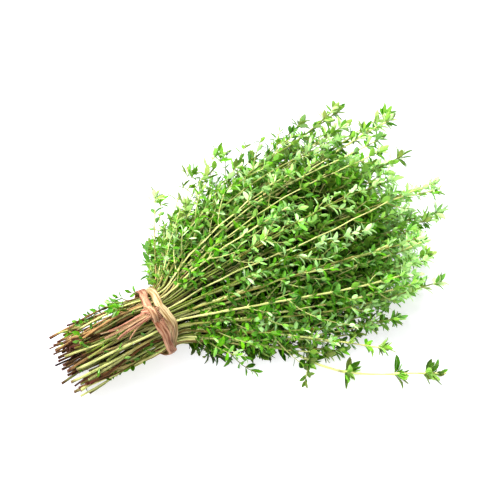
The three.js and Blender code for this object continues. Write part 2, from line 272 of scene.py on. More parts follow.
# A side shoot's length: the most it can be, its least at the sprig's tip and how that grows away from it
LONGEST_SHOOT = 19
SHOOT_AT_TIP = 2.5
SHOOT_GROWTH = 0.36
SHOOT_FROM_TIP = 9
SHOOT_SHARE = {"open": 0.66, "buried": 0.3}  # how many axils bear one,
TIE_SHOOTS = 0.4  # times that next to the tie,
STANDING_SHOOTS = 0.2  # and times that near the ends of sprigs that stand out
SHOOT_PITCH = (3.6, 4.8)
SHOOT_LEAVES = (0.52, 0.74)  # their sizes, from its tip down,
SHOOT_ANGLES = (16, 60)  # and their angles from it
REST_MARGIN = 1.4  # leaves nearer the surface than this are pressed against it
CLEARANCE = 0.12

# The trailing sprig's leaves
TRAIL_TINT = np.array([0.3, -0.1, 0.65])
TRAIL_CENTRE_TINT = np.array([0.95, 0.85, 0.4])  # in the middle of a cluster
TRAIL_PAIRS = [((1.5, 1.75), (62, 88)), ((1.3, 1.6), (34, 52))]  # lengths and angles of the large leaves
TRAIL_TUFT = 1.6
TRAIL_END_LEAVES = 8

# Where it bears them: x, y, their size, and each side shoot's way (x, y) and length
TRAIL_CLUSTERS = [
    (30, -19, 1.0, [(0.9, -0.1, 9), (0.3, -0.9, 8)]),
    (42.6, -42.1, 1.0, [(-0.74, -0.66, 17.5), (0.95, 0.2, 7), (0.5, 0.8, 8)]),
    (53.0, -55.6, 1.1, [(1.0, -0.1, 5)]),
    (69.4, -67.4, 1.1, [(0.75, -0.6, 5)]),
    (79.2, -74.4, 0.75, [(0.6, -0.8, 4)]),
]

BUTT_SEED = 77
BUTT_TINT = 0.6  # times what a sprig's leaves have

# Short leafy shoots left on the cut ends: where each starts, which way it points, how long it is
BUTT_SHOOTS = [
    ((-12.0, 7.5, 9.5), (-0.90, 0.15, 0.05), 9.0),
    ((-13.0, 9.0, 8.0), (-0.85, 0.25, 0.10), 8.0),
    ((-14.0, 5.0, 11.0), (-0.90, -0.10, 0.05), 8.0),
    ((-15.0, 3.0, 11.5), (-0.90, -0.20, 0.05), 7.0),
    ((-11.0, 9.0, 8.5), (-0.70, 0.20, 0.30), 6.0),
    ((-17.0, 8.0, 8.0), (-0.80, 0.20, 0.20), 6.5),
    ((-17.5, 5.0, 9.5), (-0.80, -0.10, 0.20), 6.0),
    ((-5.5, 10.0, 8.5), (-0.80, 0.20, 0.20), 5.0),
    ((-25.0, 9.0, 6.5), (-0.85, 0.20, 0.15), 6.0),
    ((-29.0, 7.0, 7.5), (-0.85, 0.10, 0.20), 5.0),
    ((-31.5, 9.0, 5.0), (-0.60, 0.30, 0.40), 4.5),
    ((-35.0, 9.0, 3.0), (-0.80, 0.40, 0.20), 5.0),
    ((-33.0, 3.0, 8.0), (-0.90, -0.10, 0.15), 5.5),
    ((-35.0, 0.0, 8.0), (-0.90, -0.20, 0.10), 5.0),
    ((-22.0, 9.5, 6.5), (-0.70, 0.30, 0.30), 5.0),
    ((-14.0, -9.0, -5.0), (-0.80, -0.40, 0.10), 5.0),
    ((-20.0, -10.0, -6.0), (-0.80, -0.50, 0.10), 5.0),
]

# ---- The bast ----
WRAP_RADIUS = 13.8  # of the lower wrap's middle, on top of the stems
REST_RADIUS = 14.6  # underneath, where the tie lies on the surface
BAST_WIDTH = 3.6
STRAP_THICKNESS = 0.42
RIDGE = 0.26
RAISED = 0.7
KNOT_CLOCK = 115
KNOT_ALONG = -8.5
LOWER_WRAP = [(40, -1.2), (79, -2.2), (105, -3.4), (147, -1.6), (180, -3.6), (270, -0.6)]
UPPER_WRAP = [(10, -3.4), (40, -4.6), (KNOT_CLOCK, KNOT_ALONG), (165, -6.4), (213, -3.2), (270, -3.4)]
UPPER_LIFT = [(20, 0), (75, 0.4), (KNOT_CLOCK, 1), (160, 1), (215, 0.6), (245, 0)]
UPPER_OUT = 0.5  # how much further out than the lower wrap the upper one is
PINCH = {"depth": 0.38, "width": 14}  # how the knot narrows the upper wrap
WRAP_TONES = (0.15, 0.85)  # how pink the lower and the upper one are
STRAP_POINTS = 11  # across a strap
WAVES = (3.2, 6.1, 10.3)  # the ridges' frequencies across a strap
RAGS = (5.3, 2.1, 0.9)  # how long the waves in its edges are
RAGGED = 0.06

# Loops over the knot: the (x, clock) of both ends, the radii there and in the middle, half a width, a tone
LOOPS = [
    ((-12.4, 121), (-4.4, 108), (13.9, 16.3), 1.2, 0.75),
    ((-5.2, 127), (-11.6, 103), (13.9, 16.7), 1.3, 0.95),
    ((-8.9, 98), (-7.9, 134), (14.4, 16.9), 1.35, 0.6),
]

# The strands of the loose end: their places side by side, how far they spread in degrees, their lengths,
# half their widths and their tones
TAIL = [
    (-1.0, -6.0, 19.0, 0.95, 1.0),
    (0.0, -1.0, 22.0, 0.9, 0.5),
    (1.0, 5.0, 17.5, 0.95, 0.9),
    (1.3, 12.0, 13.0, 0.45, 0.7),
    (-0.6, -9.0, 22.5, 0.4, 0.3),
]

# Strands between the wraps: how far each lies towards the upper one and strays from that, its radius, half
# its width and its tone
BRIDGES = [(0.42, 0.1, 13.7, 1.0, 0.35), (0.6, 0.14, 13.95, 0.7, 0.9), (0.3, 0.2, 14.2, 0.4, 0.6)]
BRIDGED = (128, 236)  # the clock angles between which they run


def mix(a, b, t):
    return a + (b - a) * t


def unit(v):
    return v / np.linalg.norm(v, axis=-1, keepdims=True)


def chance(sprig, use):
    """A fixed number from 0 to 1 for each sprig and each use, the same as the solids have."""
    n = math.sin(sprig * 12.9898 + use * 78.233) * 43758.5453
    return n - math.floor(n)


# ---- Where the stems run ----


def seat(sprig):
    r = math.sqrt((sprig + 0.5) / SPRIG_COUNT)
    turn = sprig * GOLDEN_ANGLE
    return np.array([r * math.cos(turn), r * math.sin(turn)])


def low_places():
    return np.linspace(-LOW_SEAT["width"], LOW_SEAT["width"], LOW_COUNT)


def filler_seats():
    """Places in the tie between the solids' stems, pushed apart until they are even."""
    taken = np.array([seat(i) for i in range(SPRIG_COUNT)])
    turns = np.arange(FILLER_COUNT) * GOLDEN_ANGLE + 1.3
    radii = np.sqrt((np.arange(FILLER_COUNT) + 0.6) / FILLER_COUNT)
    seats = np.stack([radii * np.cos(turns), radii * np.sin(turns)], 1)
    low = [(p, mix(LOW_SEAT["height"], 0, max(0, p)) * math.sqrt(1 - p * p)) for p in low_places()]
    seats = np.concatenate([seats, low, [place for place, _ in AIMED]])
    for _ in range(SEAT_ROUNDS):
        others = np.concatenate([taken, seats])
        gap = seats[:, None] - others[None]
        distance = np.linalg.norm(gap, axis=2) + 1e-9
        push = np.where(distance < 1e-6, 0, np.exp(-distance / SEAT_GAP) * SEAT_PUSH)
        seats = seats + (gap / distance[..., None] * push[..., None]).sum(1)
        radius = np.linalg.norm(seats, axis=1, keepdims=True)
        seats = seats * np.minimum(1, OUTERMOST / radius)
    return seats


def opened(x, rise):
    return 1 - np.exp(-np.maximum(x - FAN_START, 0) / rise)


def half_width(x, far):
    side = FAR_SIDE if far else NEAR_SIDE
    return SEAT_RADIUS + side["spread"] * opened(x, side["rise"])


def half_height(x):
    return SEAT_RADIUS + HEIGHT["spread"] * opened(x, HEIGHT["rise"])


def sunk(x, p):
    """How much lower than in the middle the bunch is, so far over to a side."""
    return half_height(x) * (1 - math.sqrt(max(0, 1 - min(1, p * p)))) * opened(x, SINK_RISE)


def full_length(p, far):
    """Where the bunch ends, so far over to a side."""
    side = FAR_SIDE if far else NEAR_SIDE
    return HEAD_LENGTH - side["shorter"] * min(1, abs(p)) ** EDGE_CURVE


def in_fan(p, q, x):
    """The points at distances x along the bunch of the stem whose seat is p, q."""
    z = SURFACE + STEM_LIFT + half_height(x) * (1 + q) - sunk(x, p)
    return np.stack([x, half_width(x, p > 0) * p, z], 1)


def stem_points(sprig, p, q, x, stray):
    points = in_fan(p, q, x)
    bend = WANDER * opened(x, SINK_RISE)
    points[:, 1] += bend * np.sin(x / 15 + WHOLE_TURN * chance(sprig, 3))
    points[:, 2] += 0.5 * bend * (1 + np.sin(x / 17 + WHOLE_TURN * chance(sprig, 4)))
    if stray:
        gone = (np.maximum(x - FAN_START, 0) / stray["tip"]) ** STRAY_CURVE
        points[:, 1] += stray["across"] * gone
        points[:, 2] += stray["up"] * gone
    return points


def openness(point, loosens=LOOSENS_FROM):
    """0 in the middle of the bunch, 1 on its outside and more at its end, less on its underside."""
    x, y, z = point
    p = y / half_width(x, y > 0)
    q = (z - SURFACE - STEM_LIFT + sunk(x, p)) / half_height(x) - 1
    outward = math.hypot(p, q) if q > 0 else abs(p) * (1 - UNDERSIDE * min(1, -q))
    forward = (x / full_length(p, y > 0) - loosens) / (OPEN_FROM - loosens)
    return min(MOST_OPEN, max(outward, MOST_OPEN * forward))


def catmull_rom(points, steps=10):
    """A smooth curve through the points, at even steps between each two of them (centripetal)."""
    ends = [2 * points[0] - points[1], *points, 2 * points[-1] - points[-2]]
    found = []
    for a, b, c, d in zip(ends, ends[1:], ends[2:], ends[3:]):
        before, between, after = (np.sum((n - m) ** 2) ** 0.25 for m, n in ((a, b), (b, c), (c, d)))
        start = (b - a) / before - (c - a) / (before + between) + (c - b) / between
        end = (c - b) / between - (d - b) / (between + after) + (d - c) / after
        start, end = start * between, end * between
        t = np.linspace(0, 1, steps, endpoint=False)[:, None]
        cube = 2 * b - 2 * c + start + end
        square = -3 * b + 3 * c - 2 * start - end
        found.append(b + start * t + square * t**2 + cube * t**3)
    return np.concatenate([*found, points[-1][None]])


class Path:
    """A line through points that can be read at any distance from its start."""

    def __init__(self, points):
        self.points = points
        steps = np.linalg.norm(np.diff(points, axis=0), axis=1)
        self.marks = np.concatenate([[0], np.cumsum(steps)])
        self.length = self.marks[-1]

    def at(self, d):
        d = np.clip(d, 0, self.length)
        return np.stack([np.interp(d, self.marks, self.points[:, k]) for k in range(3)], -1)

    def along(self, d):
        d = np.clip(d, 0.5, self.length - 0.5)
        return unit(self.at(d + 0.5) - self.at(d - 0.5))


def flared(points, p, q, sprig):
    """The butt's stems part a little towards their cut ends and aren't quite straight."""
    behind = np.maximum(-points[:, 0] - BUTT_FROM, 0)
    far = (behind / BUTT_LENGTH) ** BUTT_CURVE
    points[:, 1] += SEAT_RADIUS * p * BUTT_FLARE * far
    points[:, 2] += SEAT_RADIUS * q * BUTT_FLARE * far
    reach = BUTT_WOBBLE * np.minimum(behind / WOBBLE_RISE, 1)
    across = behind / mix(*WOBBLE_LENGTHS, chance(sprig, 14)) + WHOLE_TURN * chance(sprig, 11)
    up = behind / mix(*WOBBLE_LENGTHS, chance(sprig, 15)) + WHOLE_TURN * chance(sprig, 12)
    points[:, 1] += reach * np.sin(across)
    points[:, 2] += 0.8 * reach * np.sin(up)
    points[:, 2] = np.maximum(points[:, 2] - BUTT_SAG * far, SURFACE + BUTT_LEAST_HEIGHT)
    return points


class Sprig:
    """A sprig's centre line and the frame round it."""

    def __init__(self, number, p, q, butt, tip, stray=None, trails=False):
        self.number, self.p, self.q, self.butt = number, p, q, butt
        self.r = math.hypot(p, q)
        self.trails = trails
        self.stray = stray is not None
        self.path = self.centre_line(TRAIL_START if trails else tip, stray)
        self.length = self.path.length
        self.roll = 0 if trails else chance(number, 5) * math.pi
        low = p < LOW_LEAFY["p"] and q < LOW_LEAFY["q"]
        self.side = "far" if p > FAR_LEAFY or low else "near"
        self.leafy_from = butt + LEAFY_FROM[self.side]
        self.lush = LUSH_END if stray else 1
        self.loose = self.stray and tip < LOOSE_BEFORE and self.path.points[-1, 1] > LOOSE_BEYOND
        self.stoutness = TRAIL_STOUTNESS if trails else mix(*STOUTNESS, chance(number, 13))
        self.stoutness *= LOOSE_STEM if self.loose else 1
        self.clear = q > CLEAR_STEMS and p < CLEAR_BEFORE

    def centre_line(self, end, stray):
        x = np.linspace(-self.butt, end, math.ceil((end + self.butt) / PATH_STEP) + 1)
        points = stem_points(self.number, self.p, self.q, x, stray)
        points = flared(points, self.p, self.q, self.number)
        if self.trails:
            points = np.concatenate([points, [(x, y, TRAIL_HEIGHT) for x, y in TRAIL]])
        return Path(catmull_rom(points))

    def frame(self, d):
        """Along the stem, and the two ways out of it at right angles."""
        t = self.path.along(d)
        level = unit(np.cross(UP, t))
        u = level * math.cos(self.roll) + np.cross(t, level) * math.sin(self.roll)
        return t, u, np.cross(t, u)

    def radius(self, d):
        done = np.clip(d, 0, self.length) / self.length
        return self.stoutness * mix(BUTT_RADIUS, TIP_RADIUS, done**THINNING)


def solid_sprig(sprig):
    p, q = seat(sprig)
    stray = STRAYS.get(sprig)
    full = full_length(p, p > 0)
    if sprig in SHORT_SPRIGS:
        full *= SHORT_LENGTH
    tip = stray["tip"] if stray else full * (1 - HEAD_UNEVEN * chance(sprig, 1))
    butt = BUTT_LENGTH - BUTT_UNEVEN * chance(sprig, 2)
    return Sprig(sprig, p, q, butt, tip, stray, sprig == TRAILING_SPRIG)


def filler_butt(number):
    return FILLER_BUTT - FILLER_UNEVEN * chance(number, 2)


def filler_sprig(number, p, q, lengths=FILLER_LENGTHS):
    tip = full_length(p, p > 0) * mix(*lengths, chance(number, 1))
    return Sprig(number, p, q, filler_butt(number), tip)


def low_sprig(number, p, q):
    sprig = filler_sprig(number, p, q, LOW_LENGTHS)
    sprig.leafy_from = sprig.butt + LOW_LEAFY_FROM
    return sprig


def aimed_sprig(number, p, q, tip):
    x, y, z = tip
    fan = in_fan(p, q, np.array([float(x)]))[0]
    gone = ((x - FAN_START) / x) ** STRAY_CURVE
    stray = {"tip": x, "across": (y - fan[1]) / gone, "up": (z - fan[2]) / gone}
    return Sprig(number, p, q, filler_butt(number), x, stray)


# ---- Meshes: points and faces with what the materials read from them ----
#
# place: on a leaf, across it from -1 to 1, along it from 0 to 1, and how lit it is by its openness;
#        on a stem, round it from 0 to 1, along it in mm, and 1 on a cut;
#        on bast, across it from -1 to 1 and along it in mm
# tint: on a leaf, how fresh, bright and dry it is; on a stem, how woody, red and bright;
#       on bast, how pink, and a number that differs from strap to strap
# under: 1 on the lower side of a leaf, and from 0 to 1 how shaded a stem is

Part = namedtuple("Part", "points place tint rim faces under uv material")


class Builder:
    """Gathers parts and makes one mesh of them."""

    def __init__(self):
        self.count = 0
        self.parts = []

    def add(self, points, faces, place, tint, under, uv, material, rim=None):
        """faces is (n, 3) or (n, 4); uv has a place for each corner; edges between rim points are sharp."""
        rim = np.zeros(len(points), int) if rim is None else rim
        self.parts.append(Part(points, place, tint, rim, faces + self.count, under, uv, material))
        self.count += len(points)

    def more_faces(self, faces, base, under, uv, material):
        """Faces between points that are there already, counted from base on."""
        none = np.zeros((0, 3))
        self.parts.append(Part(none, none, none, none[:, 0], faces + base, under, uv, material))

    def joined(self, field):
        return np.concatenate([getattr(part, field) for part in self.parts])

    def for_faces(self, field):
        values = [np.broadcast_to(getattr(part, field), len(part.faces)) for part in self.parts]
        return np.concatenate(values)

    def mesh(self, name, materials):
        mesh = bpy.data.meshes.new(name)
        self.write_faces(mesh)
        write(mesh, "place", "FLOAT_VECTOR", "POINT", "vector", self.joined("place"))
        write(mesh, "tint", "FLOAT_VECTOR", "POINT", "vector", self.joined("tint"))
        write(mesh, "under", "FLOAT", "FACE", "value", self.for_faces("under"))
        uv = np.concatenate([part.uv.reshape(-1, 2) for part in self.parts])
        mesh.uv_layers.new(name="OFBake").uv.foreach_set("vector", uv.astype(np.float32).ravel())
        mesh.shade_smooth()
        ends = np.empty(len(mesh.edges) * 2, np.int32)
        mesh.edges.foreach_get("vertices", ends)
        ends = self.joined("rim")[ends.reshape(-1, 2)]
        write(mesh, "sharp_edge", "BOOLEAN", "EDGE", "value", (ends > 0).all(1))
        for material in materials:
            mesh.materials.append(material)
        return mesh

    def write_faces(self, mesh):
        points = (self.joined("points") + TIE) * MM
        mesh.vertices.add(len(points))
        mesh.vertices.foreach_set("co", points.astype(np.float32).ravel())
        corners = np.concatenate([part.faces.ravel() for part in self.parts])
        mesh.loops.add(len(corners))
        mesh.loops.foreach_set("vertex_index", corners.astype(np.int32))
        sizes = np.concatenate([np.full(len(part.faces), part.faces.shape[1]) for part in self.parts])
        starts = np.concatenate([[0], np.cumsum(sizes)[:-1]])
        mesh.polygons.add(len(sizes))
        mesh.polygons.foreach_set("loop_start", starts.astype(np.int32))
        mesh.polygons.foreach_set("material_index", self.for_faces("material").astype(np.int32))
        mesh.update(calc_edges=True)


def write(mesh, name, kind, domain, field, values):
    found = mesh.attributes.get(name) or mesh.attributes.new(name, kind, domain)
    values = values.astype(bool if kind == "BOOLEAN" else np.float32)
    found.data.foreach_set(field, values.ravel())


def in_rect(rect, u, v):
    """Moves map places from 0 to 1 into a rectangle (left, bottom, right, top) of the bake's map."""
    return np.stack([mix(rect[0], rect[2], u), mix(rect[1], rect[3], v)], -1)


STEM, LEAF = 0, 1  # material slots of a sprig


def skin(rings, around, rect):
    """The faces between rings of points, and their places in the bake's map."""
    k, s = np.meshgrid(np.arange(rings - 1), np.arange(around), indexing="ij")
    n = (s + 1) % around
    corners = [k * around + s, k * around + n, (k + 1) * around + n, (k + 1) * around + s]
    left, right = k / (rings - 1), (k + 1) / (rings - 1)
    low, high = s / around, (s + 1) / around
    uv = in_rect(rect, np.stack([left, left, right, right], -1), np.stack([low, high, high, low], -1))
    return np.stack(corners, -1).reshape(-1, 4), uv.reshape(-1, 4, 2)


def add_tube(builder, centres, axes, radii, tint, rect, sides, run, square, shade):
    """A tube with a flat cut at its start and a point at its end."""
    rings = len(centres)
    turn = np.arange(sides) / sides * 2 * math.pi
    shape = 1 + square * np.cos(4 * turn)
    round_ = np.cos(turn)[:, None] * axes[0][:, None] + np.sin(turn)[:, None] * axes[1][:, None]
    points = centres[:, None] + round_ * (radii[:, None] * shape)[..., None]
    place = np.zeros((rings, sides, 3))
    place[..., 0] = np.arange(sides) / sides
    place[..., 1] = run[:, None]
    tints = np.broadcast_to(tint[:, None], (rings, sides, 3))
    quads, uv = skin(rings, sides, rect)
    base = builder.count
    flat = [a.reshape(-1, 3) for a in (points, place, tints)]
    builder.add(flat[0], quads, flat[1], flat[2], np.repeat(shade[:-1], sides), uv, STEM)
    add_end(builder, base, points[0], centres[0], run[0], tint[0], rect, True)
    last = base + (rings - 1) * sides
    tip = centres[-1] + unit(centres[-1] - centres[-2]) * radii[-1]
    add_end(builder, last, points[-1], tip, run[-1], tint[-1], rect, False)


def add_end(builder, first, ring, middle, run, tint, rect, cut):
    """Closes a tube. A cut end has points of its own, because its colour differs from the bark's."""
    sides = len(ring)
    s = np.arange(sides)
    corner = in_rect(rect, np.full(3, 0.0 if cut else 1.0), np.full(3, 0.5))
    uv = np.broadcast_to(corner, (sides, 3, 2))
    if cut:
        points = np.concatenate([ring, middle[None]])
        place = np.array([[0.5, run, 1.0]] * sides + [[0.0, run, 1.0]])
        faces = np.stack([(s + 1) % sides, s, np.full(sides, sides)], -1)
        rim = np.array([1] * sides + [0])
        builder.add(points, faces, place, np.broadcast_to(tint, (sides + 1, 3)), 0, uv, STEM, rim)
        return
    faces = np.stack([first + s, first + (s + 1) % sides, np.full(sides, builder.count)], -1)
    builder.add(middle[None], faces - builder.count, np.array([[0, run, 0.0]]), tint[None], 0, uv, STEM)


# ---- Leaves ----


class LeafForm:
    """Rings of points from a leaf's stalk on and one point at its tip, with the faces between them."""

    def __init__(self, outline, across, above, caps):
        """outline: how far along and how wide each ring is. across and above: where a ring's points are, the
        lower one last. caps: the faces that close the first ring.
        """
        self.outline, self.across, self.above = np.array(outline), np.array(across), np.array(above)
        self.stations, self.ring = len(outline), len(across)
        self.uppers = self.ring - 2
        self.place = np.zeros((self.stations * self.ring + 1, 3))
        self.place[:-1, 0] = np.tile(self.across, self.stations)
        self.place[:-1, 1] = np.repeat(self.outline[:, 0], self.ring)
        self.place[-1] = (0, 1, 0)
        edge = (np.abs(self.across) == 1).astype(int)
        self.rim = np.append(np.tile(edge, self.stations), 1)
        self.quads, self.quad_uv, self.quad_under = self.between_rings(caps)
        self.tris, self.tri_uv, self.tri_under = self.at_tip()

    def spot(self, k, j, under, narrow=0.9):
        """A leaf's two sides lie one above the other in its cell of the bake's map."""
        along = self.outline[j, 0] if j < self.stations else 1.0
        v = 0.27 + 0.2 * narrow * self.across[k] + (0.0 if under else 0.48)
        return 0.06 + 0.88 * along, v

    def between_rings(self, caps):
        faces, spots, under = [], [], []
        ring = self.ring
        for j in range(self.stations - 1):
            for k in range(ring):
                n = (k + 1) % ring
                low = k >= self.uppers
                faces.append([j * ring + k, j * ring + n, (j + 1) * ring + n, (j + 1) * ring + k])
                ends = [(k, j), (n, j), (n, j + 1), (k, j + 1)]
                spots.append([self.spot(a, b, low) for a, b in ends])
                under.append(low)
        for cap in caps:
            faces.append(cap)
            spots.append([self.spot(k, 0, True, 0.2) for k in cap])
            under.append(1)
        return np.array(faces), np.array(spots), np.array(under, float)

    def at_tip(self):
        faces, spots, under = [], [], []
        last = (self.stations - 1) * self.ring
        for k in range(self.ring):
            n = (k + 1) % self.ring
            low = k >= self.uppers
            faces.append([last + k, last + n, self.stations * self.ring])
            ends = [self.spot(a, self.stations - 1, low, 0.5) for a in (k, n)]
            spots.append([*ends, self.spot(k, self.stations, low, 0.0)])
            under.append(low)
        return np.array(faces), np.array(spots), np.array(under, float)


FINE_FORM = LeafForm(
    [(0.0, 0.15), (0.12, 0.24), (0.34, 0.86), (0.58, 0.98), (0.84, 0.58)],
    [-1.0, -0.52, 0.0, 0.52, 1.0, 0.0],
    [0.0, 0.62, 0.26, 0.62, 0.0, -0.62],
    [(5, 2, 1, 0), (5, 4, 3, 2)],
)
PLAIN_FORM = LeafForm(
    [(0.0, 0.2), (0.3, 0.86), (0.6, 0.94), (0.86, 0.5)],
    [-1.0, 0.0, 1.0, 0.0],
    [0.0, 0.5, 0.0, -0.6],
    [(3, 2, 1, 0)],
)


class Foliage:
    """Gathers leaves one by one, and side shoots, and makes them all at once."""

    def __init__(self, seed, nodes=(), most_lit=MOST_OPEN, varied=1):
        self.rng = np.random.default_rng(seed)
        self.nodes = nodes
        self.most_lit, self.varied = most_lit, varied
        self.rows, self.forms, self.shoots = [], [], []

    def __len__(self):
        return len(self.rows) + len(self.shoots)

    def add(self, root, along, out, size, angle, tint, twist=0.35, curl=0.5):
        """angle is the leaf's own from the stem, in degrees."""
        rng = self.rng
        beta = math.radians(angle)
        d = along * math.cos(beta) + out * math.sin(beta)
        n = along * math.sin(beta) - out * math.cos(beta)
        n = unit(n + LIGHTWARD * (UP - d * d[2]))
        a = np.cross(n, d)
        swing, turn = rng.normal(0, LEAF_SWING), rng.normal(0, twist)
        d, a = d * math.cos(swing) + a * math.sin(swing), a * math.cos(swing) - d * math.sin(swing)
        a, n = a * math.cos(turn) + n * math.sin(turn), n * math.cos(turn) - a * math.sin(turn)
        bend = rng.normal(curl, LEAF_BENDS)
        fold = rng.uniform(*LEAF_FOLD)
        slim = rng.uniform(*LEAF_SLIM)
        tone = np.clip(tint + self.varied * rng.normal(0, LEAF_VARIETY), 0, 1)
        if openness(root) < SHADED:
            size = size * SHADE_LEAF
            form = PLAIN_FORM
        else:
            form = FINE_FORM if size > FINE_LEAF else PLAIN_FORM
        lit = min(openness(root, LIT_FROM), self.most_lit)
        self.rows.append((root, d, a, n, size, slim, bend, fold, tone, lit))
        self.forms.append(form)

    def build(self, builder, rects):
        """Returns the rectangles of the bake's map that are left."""
        for form in (FINE_FORM, PLAIN_FORM):
            picked = [k for k, own in enumerate(self.forms) if own is form]
            if picked:
                columns = [np.array(column, float) for column in zip(*(self.rows[k] for k in picked))]
                self.build_some(builder, columns, form, rects[picked])
        rects = rects[len(self.rows) :]
        for path, rect in zip(self.shoots, rects):
            add_shoot_stem(builder, path, rect, self.rng)
        return rects[len(self.shoots) :]

    def build_some(self, builder, columns, form, rects):
        root, d, a, n, size, slim, bend, fold, tone, lit = columns
        count = len(root)
        along = np.append(form.outline[:, 0], 1.0)
        wide = np.append(form.outline[:, 1], 0.0)
        bend = np.where(np.abs(bend) < 0.02, 0.02, bend)[:, None]
        length = (LEAF_LENGTH * size)[:, None]
        forward = length * np.sin(bend * along) / bend
        down = length * (1 - np.cos(bend * along)) / bend
        spine = root[:, None] + d[:, None] * forward[..., None] - n[:, None] * down[..., None]
        normal = n[:, None] * np.cos(bend * along)[..., None] + d[:, None] * np.sin(bend * along)[..., None]
        half = 0.5 * LEAF_WIDTH * (size**0.75 * slim)[:, None] * wide
        thick = BLADE_THICKNESS * np.minimum(1, 0.3 + wide)[None] * (0.55 + 0.45 * size)[:, None]
        rise = thick[..., None] * form.above + (fold[:, None] * half)[..., None] * np.abs(form.across)
        points = spine[:, :, None] + a[:, None, None] * (half[..., None] * form.across)[..., None]
        points = points + normal[:, :, None] * rise[..., None]
        tips = points[:, form.stations].mean(1)
        points = np.concatenate([points[:, : form.stations].reshape(count, -1, 3), tips[:, None]], 1)
        points[..., 2] = pressed(points[..., 2])
        self.add_faces(builder, points, form, rects, tone, lit)

    def add_faces(self, builder, points, form, rects, tone, lit):
        count, each = points.shape[:2]
        starts = (np.arange(count) * each)[:, None, None]
        base = builder.count
        corners = rects.T[:, :, None, None]
        uv = in_rect(corners, form.quad_uv[None, ..., 0], form.quad_uv[None, ..., 1]).reshape(-1, 4, 2)
        tri_uv = in_rect(corners, form.tri_uv[None, ..., 0], form.tri_uv[None, ..., 1]).reshape(-1, 3, 2)
        quads = (form.quads[None] + starts).reshape(-1, 4)
        tris = (form.tris[None] + starts).reshape(-1, 3)
        place = np.tile(form.place, (count, 1))
        place[:, 2] = np.repeat(lit, each)
        tint = np.repeat(tone, each, 0)
        under, rim = np.tile(form.quad_under, count), np.tile(form.rim, count)
        builder.add(points.reshape(-1, 3), quads, place, tint, under, uv, LEAF, rim)
        builder.more_faces(tris, base, np.tile(form.tri_under, count), tri_uv, LEAF)


def pressed(z):
    """Heights with everything that would be in or near the surface pressed into the room above it."""
    above = z - SURFACE
    soft = REST_MARGIN * np.exp((np.minimum(above, REST_MARGIN) - REST_MARGIN) / REST_MARGIN)
    return SURFACE + np.where(above > REST_MARGIN, above, CLEARANCE + (1 - CLEARANCE / REST_MARGIN) * soft)


# ---- What a sprig bears ----


def leaf_nodes(sprig):
    """Distances from the cut end at which the sprig bears leaves, from the tip down."""
    nodes = []
    pitch = STANDING_PITCH if sprig.stray else LEAST_PITCH
    d = sprig.length - NODE_FROM_TIP
    most = OUTER_PITCH * mix(0.85, 1.05, chance(sprig.number, 6))
    while d > sprig.leafy_from:
        nodes.insert(0, d)
        d -= pitch
        pitch = min(pitch * PITCH_GROWTH, most)
    return nodes


def trail_nodes(sprig):
    marks = sprig.path.points
    found = []
    for x, y, *_ in TRAIL_CLUSTERS:
        nearest = np.hypot(marks[:, 0] - x, marks[:, 1] - y).argmin()
        found.append(sprig.path.marks[nearest])
    return found


def out_ways(sprig, d, pair):
    """Along the stem at distance d, and the two ways out of it for that pair of leaves."""
    t, u, v = sprig.frame(np.array([d]))
    way = (v if pair % 2 == 0 else u)[0]
    return t[0], [way, -way]


def turned(v, axis, angle):
    cosine, sine = math.cos(angle), math.sin(angle)
    return v * cosine + np.cross(axis, v) * sine + axis * (axis @ v) * (1 - cosine)


def add_tuft(foliage, root, along, out, number, size, tint):
    """Small leaves that crowd in the axil of a larger one."""
    rng = foliage.rng
    for _ in range(number):
        way = turned(out, along, rng.normal(0, 0.7))
        start = root + along * rng.uniform(0.2, 1.0)
        own_size, angle = size * rng.uniform(*TUFT_SIZES), rng.uniform(*TUFT_ANGLES)
        foliage.add(start, along, way, own_size, angle, tint, 0.6, 0.35)


def pair_places(length, start, pitch, rng):
    """Distances along a shoot, from its tip down, at which it bears pairs of leaves."""
    places = []
    d = length - 0.6
    step = pitch * 0.42
    while d > start:
        places.append(d)
        d -= step
        step = min(step * 1.35, pitch * rng.uniform(0.85, 1.2))
    return places


def add_pairs(foliage, path, start, tint):
    """Crossed pairs of leaves from start to the tip of a path, closing up towards it."""
    rng = foliage.rng
    places = pair_places(path.length, start, rng.uniform(*SHOOT_PITCH), rng)
    for k, d in enumerate(places):
        t = path.along(d)
        level = unit(np.cross(UP, t) + 1e-6)
        far = min(1, k / max(4, len(places) - 1))
        turn = math.pi / 2 * (k % 2) + rng.normal(0, 0.25) + 0.6
        way = turned(level, t, turn)
        for out in (way, -way):
            size = mix(*SHOOT_LEAVES, far) * rng.uniform(0.85, 1.15)
            angle = mix(*SHOOT_ANGLES, min(1, k / 2.5)) + rng.normal(0, 7)
            foliage.add(path.at(d) + out * 0.15, t, out, size, angle, tint)


def shoot_path(root, along, out, length, rng):
    """A side shoot's line: it leaves at a wide angle and bends towards the way the sprig grows."""
    steps = np.linspace(0, 1, 7)
    wide, narrow = math.radians(rng.uniform(36, 60)), math.radians(rng.uniform(10, 30))
    angles = mix(wide, narrow, steps**0.8)
    side = np.cross(along, out) * rng.normal(0, 0.2)
    ways = along * np.cos(angles)[:, None] + (out + side) * np.sin(angles)[:, None]
    points = root + np.concatenate([[[0, 0, 0]], np.cumsum(ways[:-1] * length / 6, axis=0)])
    points[:, 2] = pressed(points[:, 2] - 0.4) + 0.4
    return Path(points)


def add_shoot(foliage, root, along, out, length, tint):
    path = shoot_path(root, along, out, length, foliage.rng)
    foliage.shoots.append(path)
    add_pairs(foliage, path, min(1.6, 0.2 * length), tint)


def random_tint(rng):
    """Fresh, bright and dry: what a sprig's leaves have in common."""
    return np.array([rng.uniform(0.05, 0.95), rng.uniform(0.15, 0.85), rng.uniform(0, 0.3)])


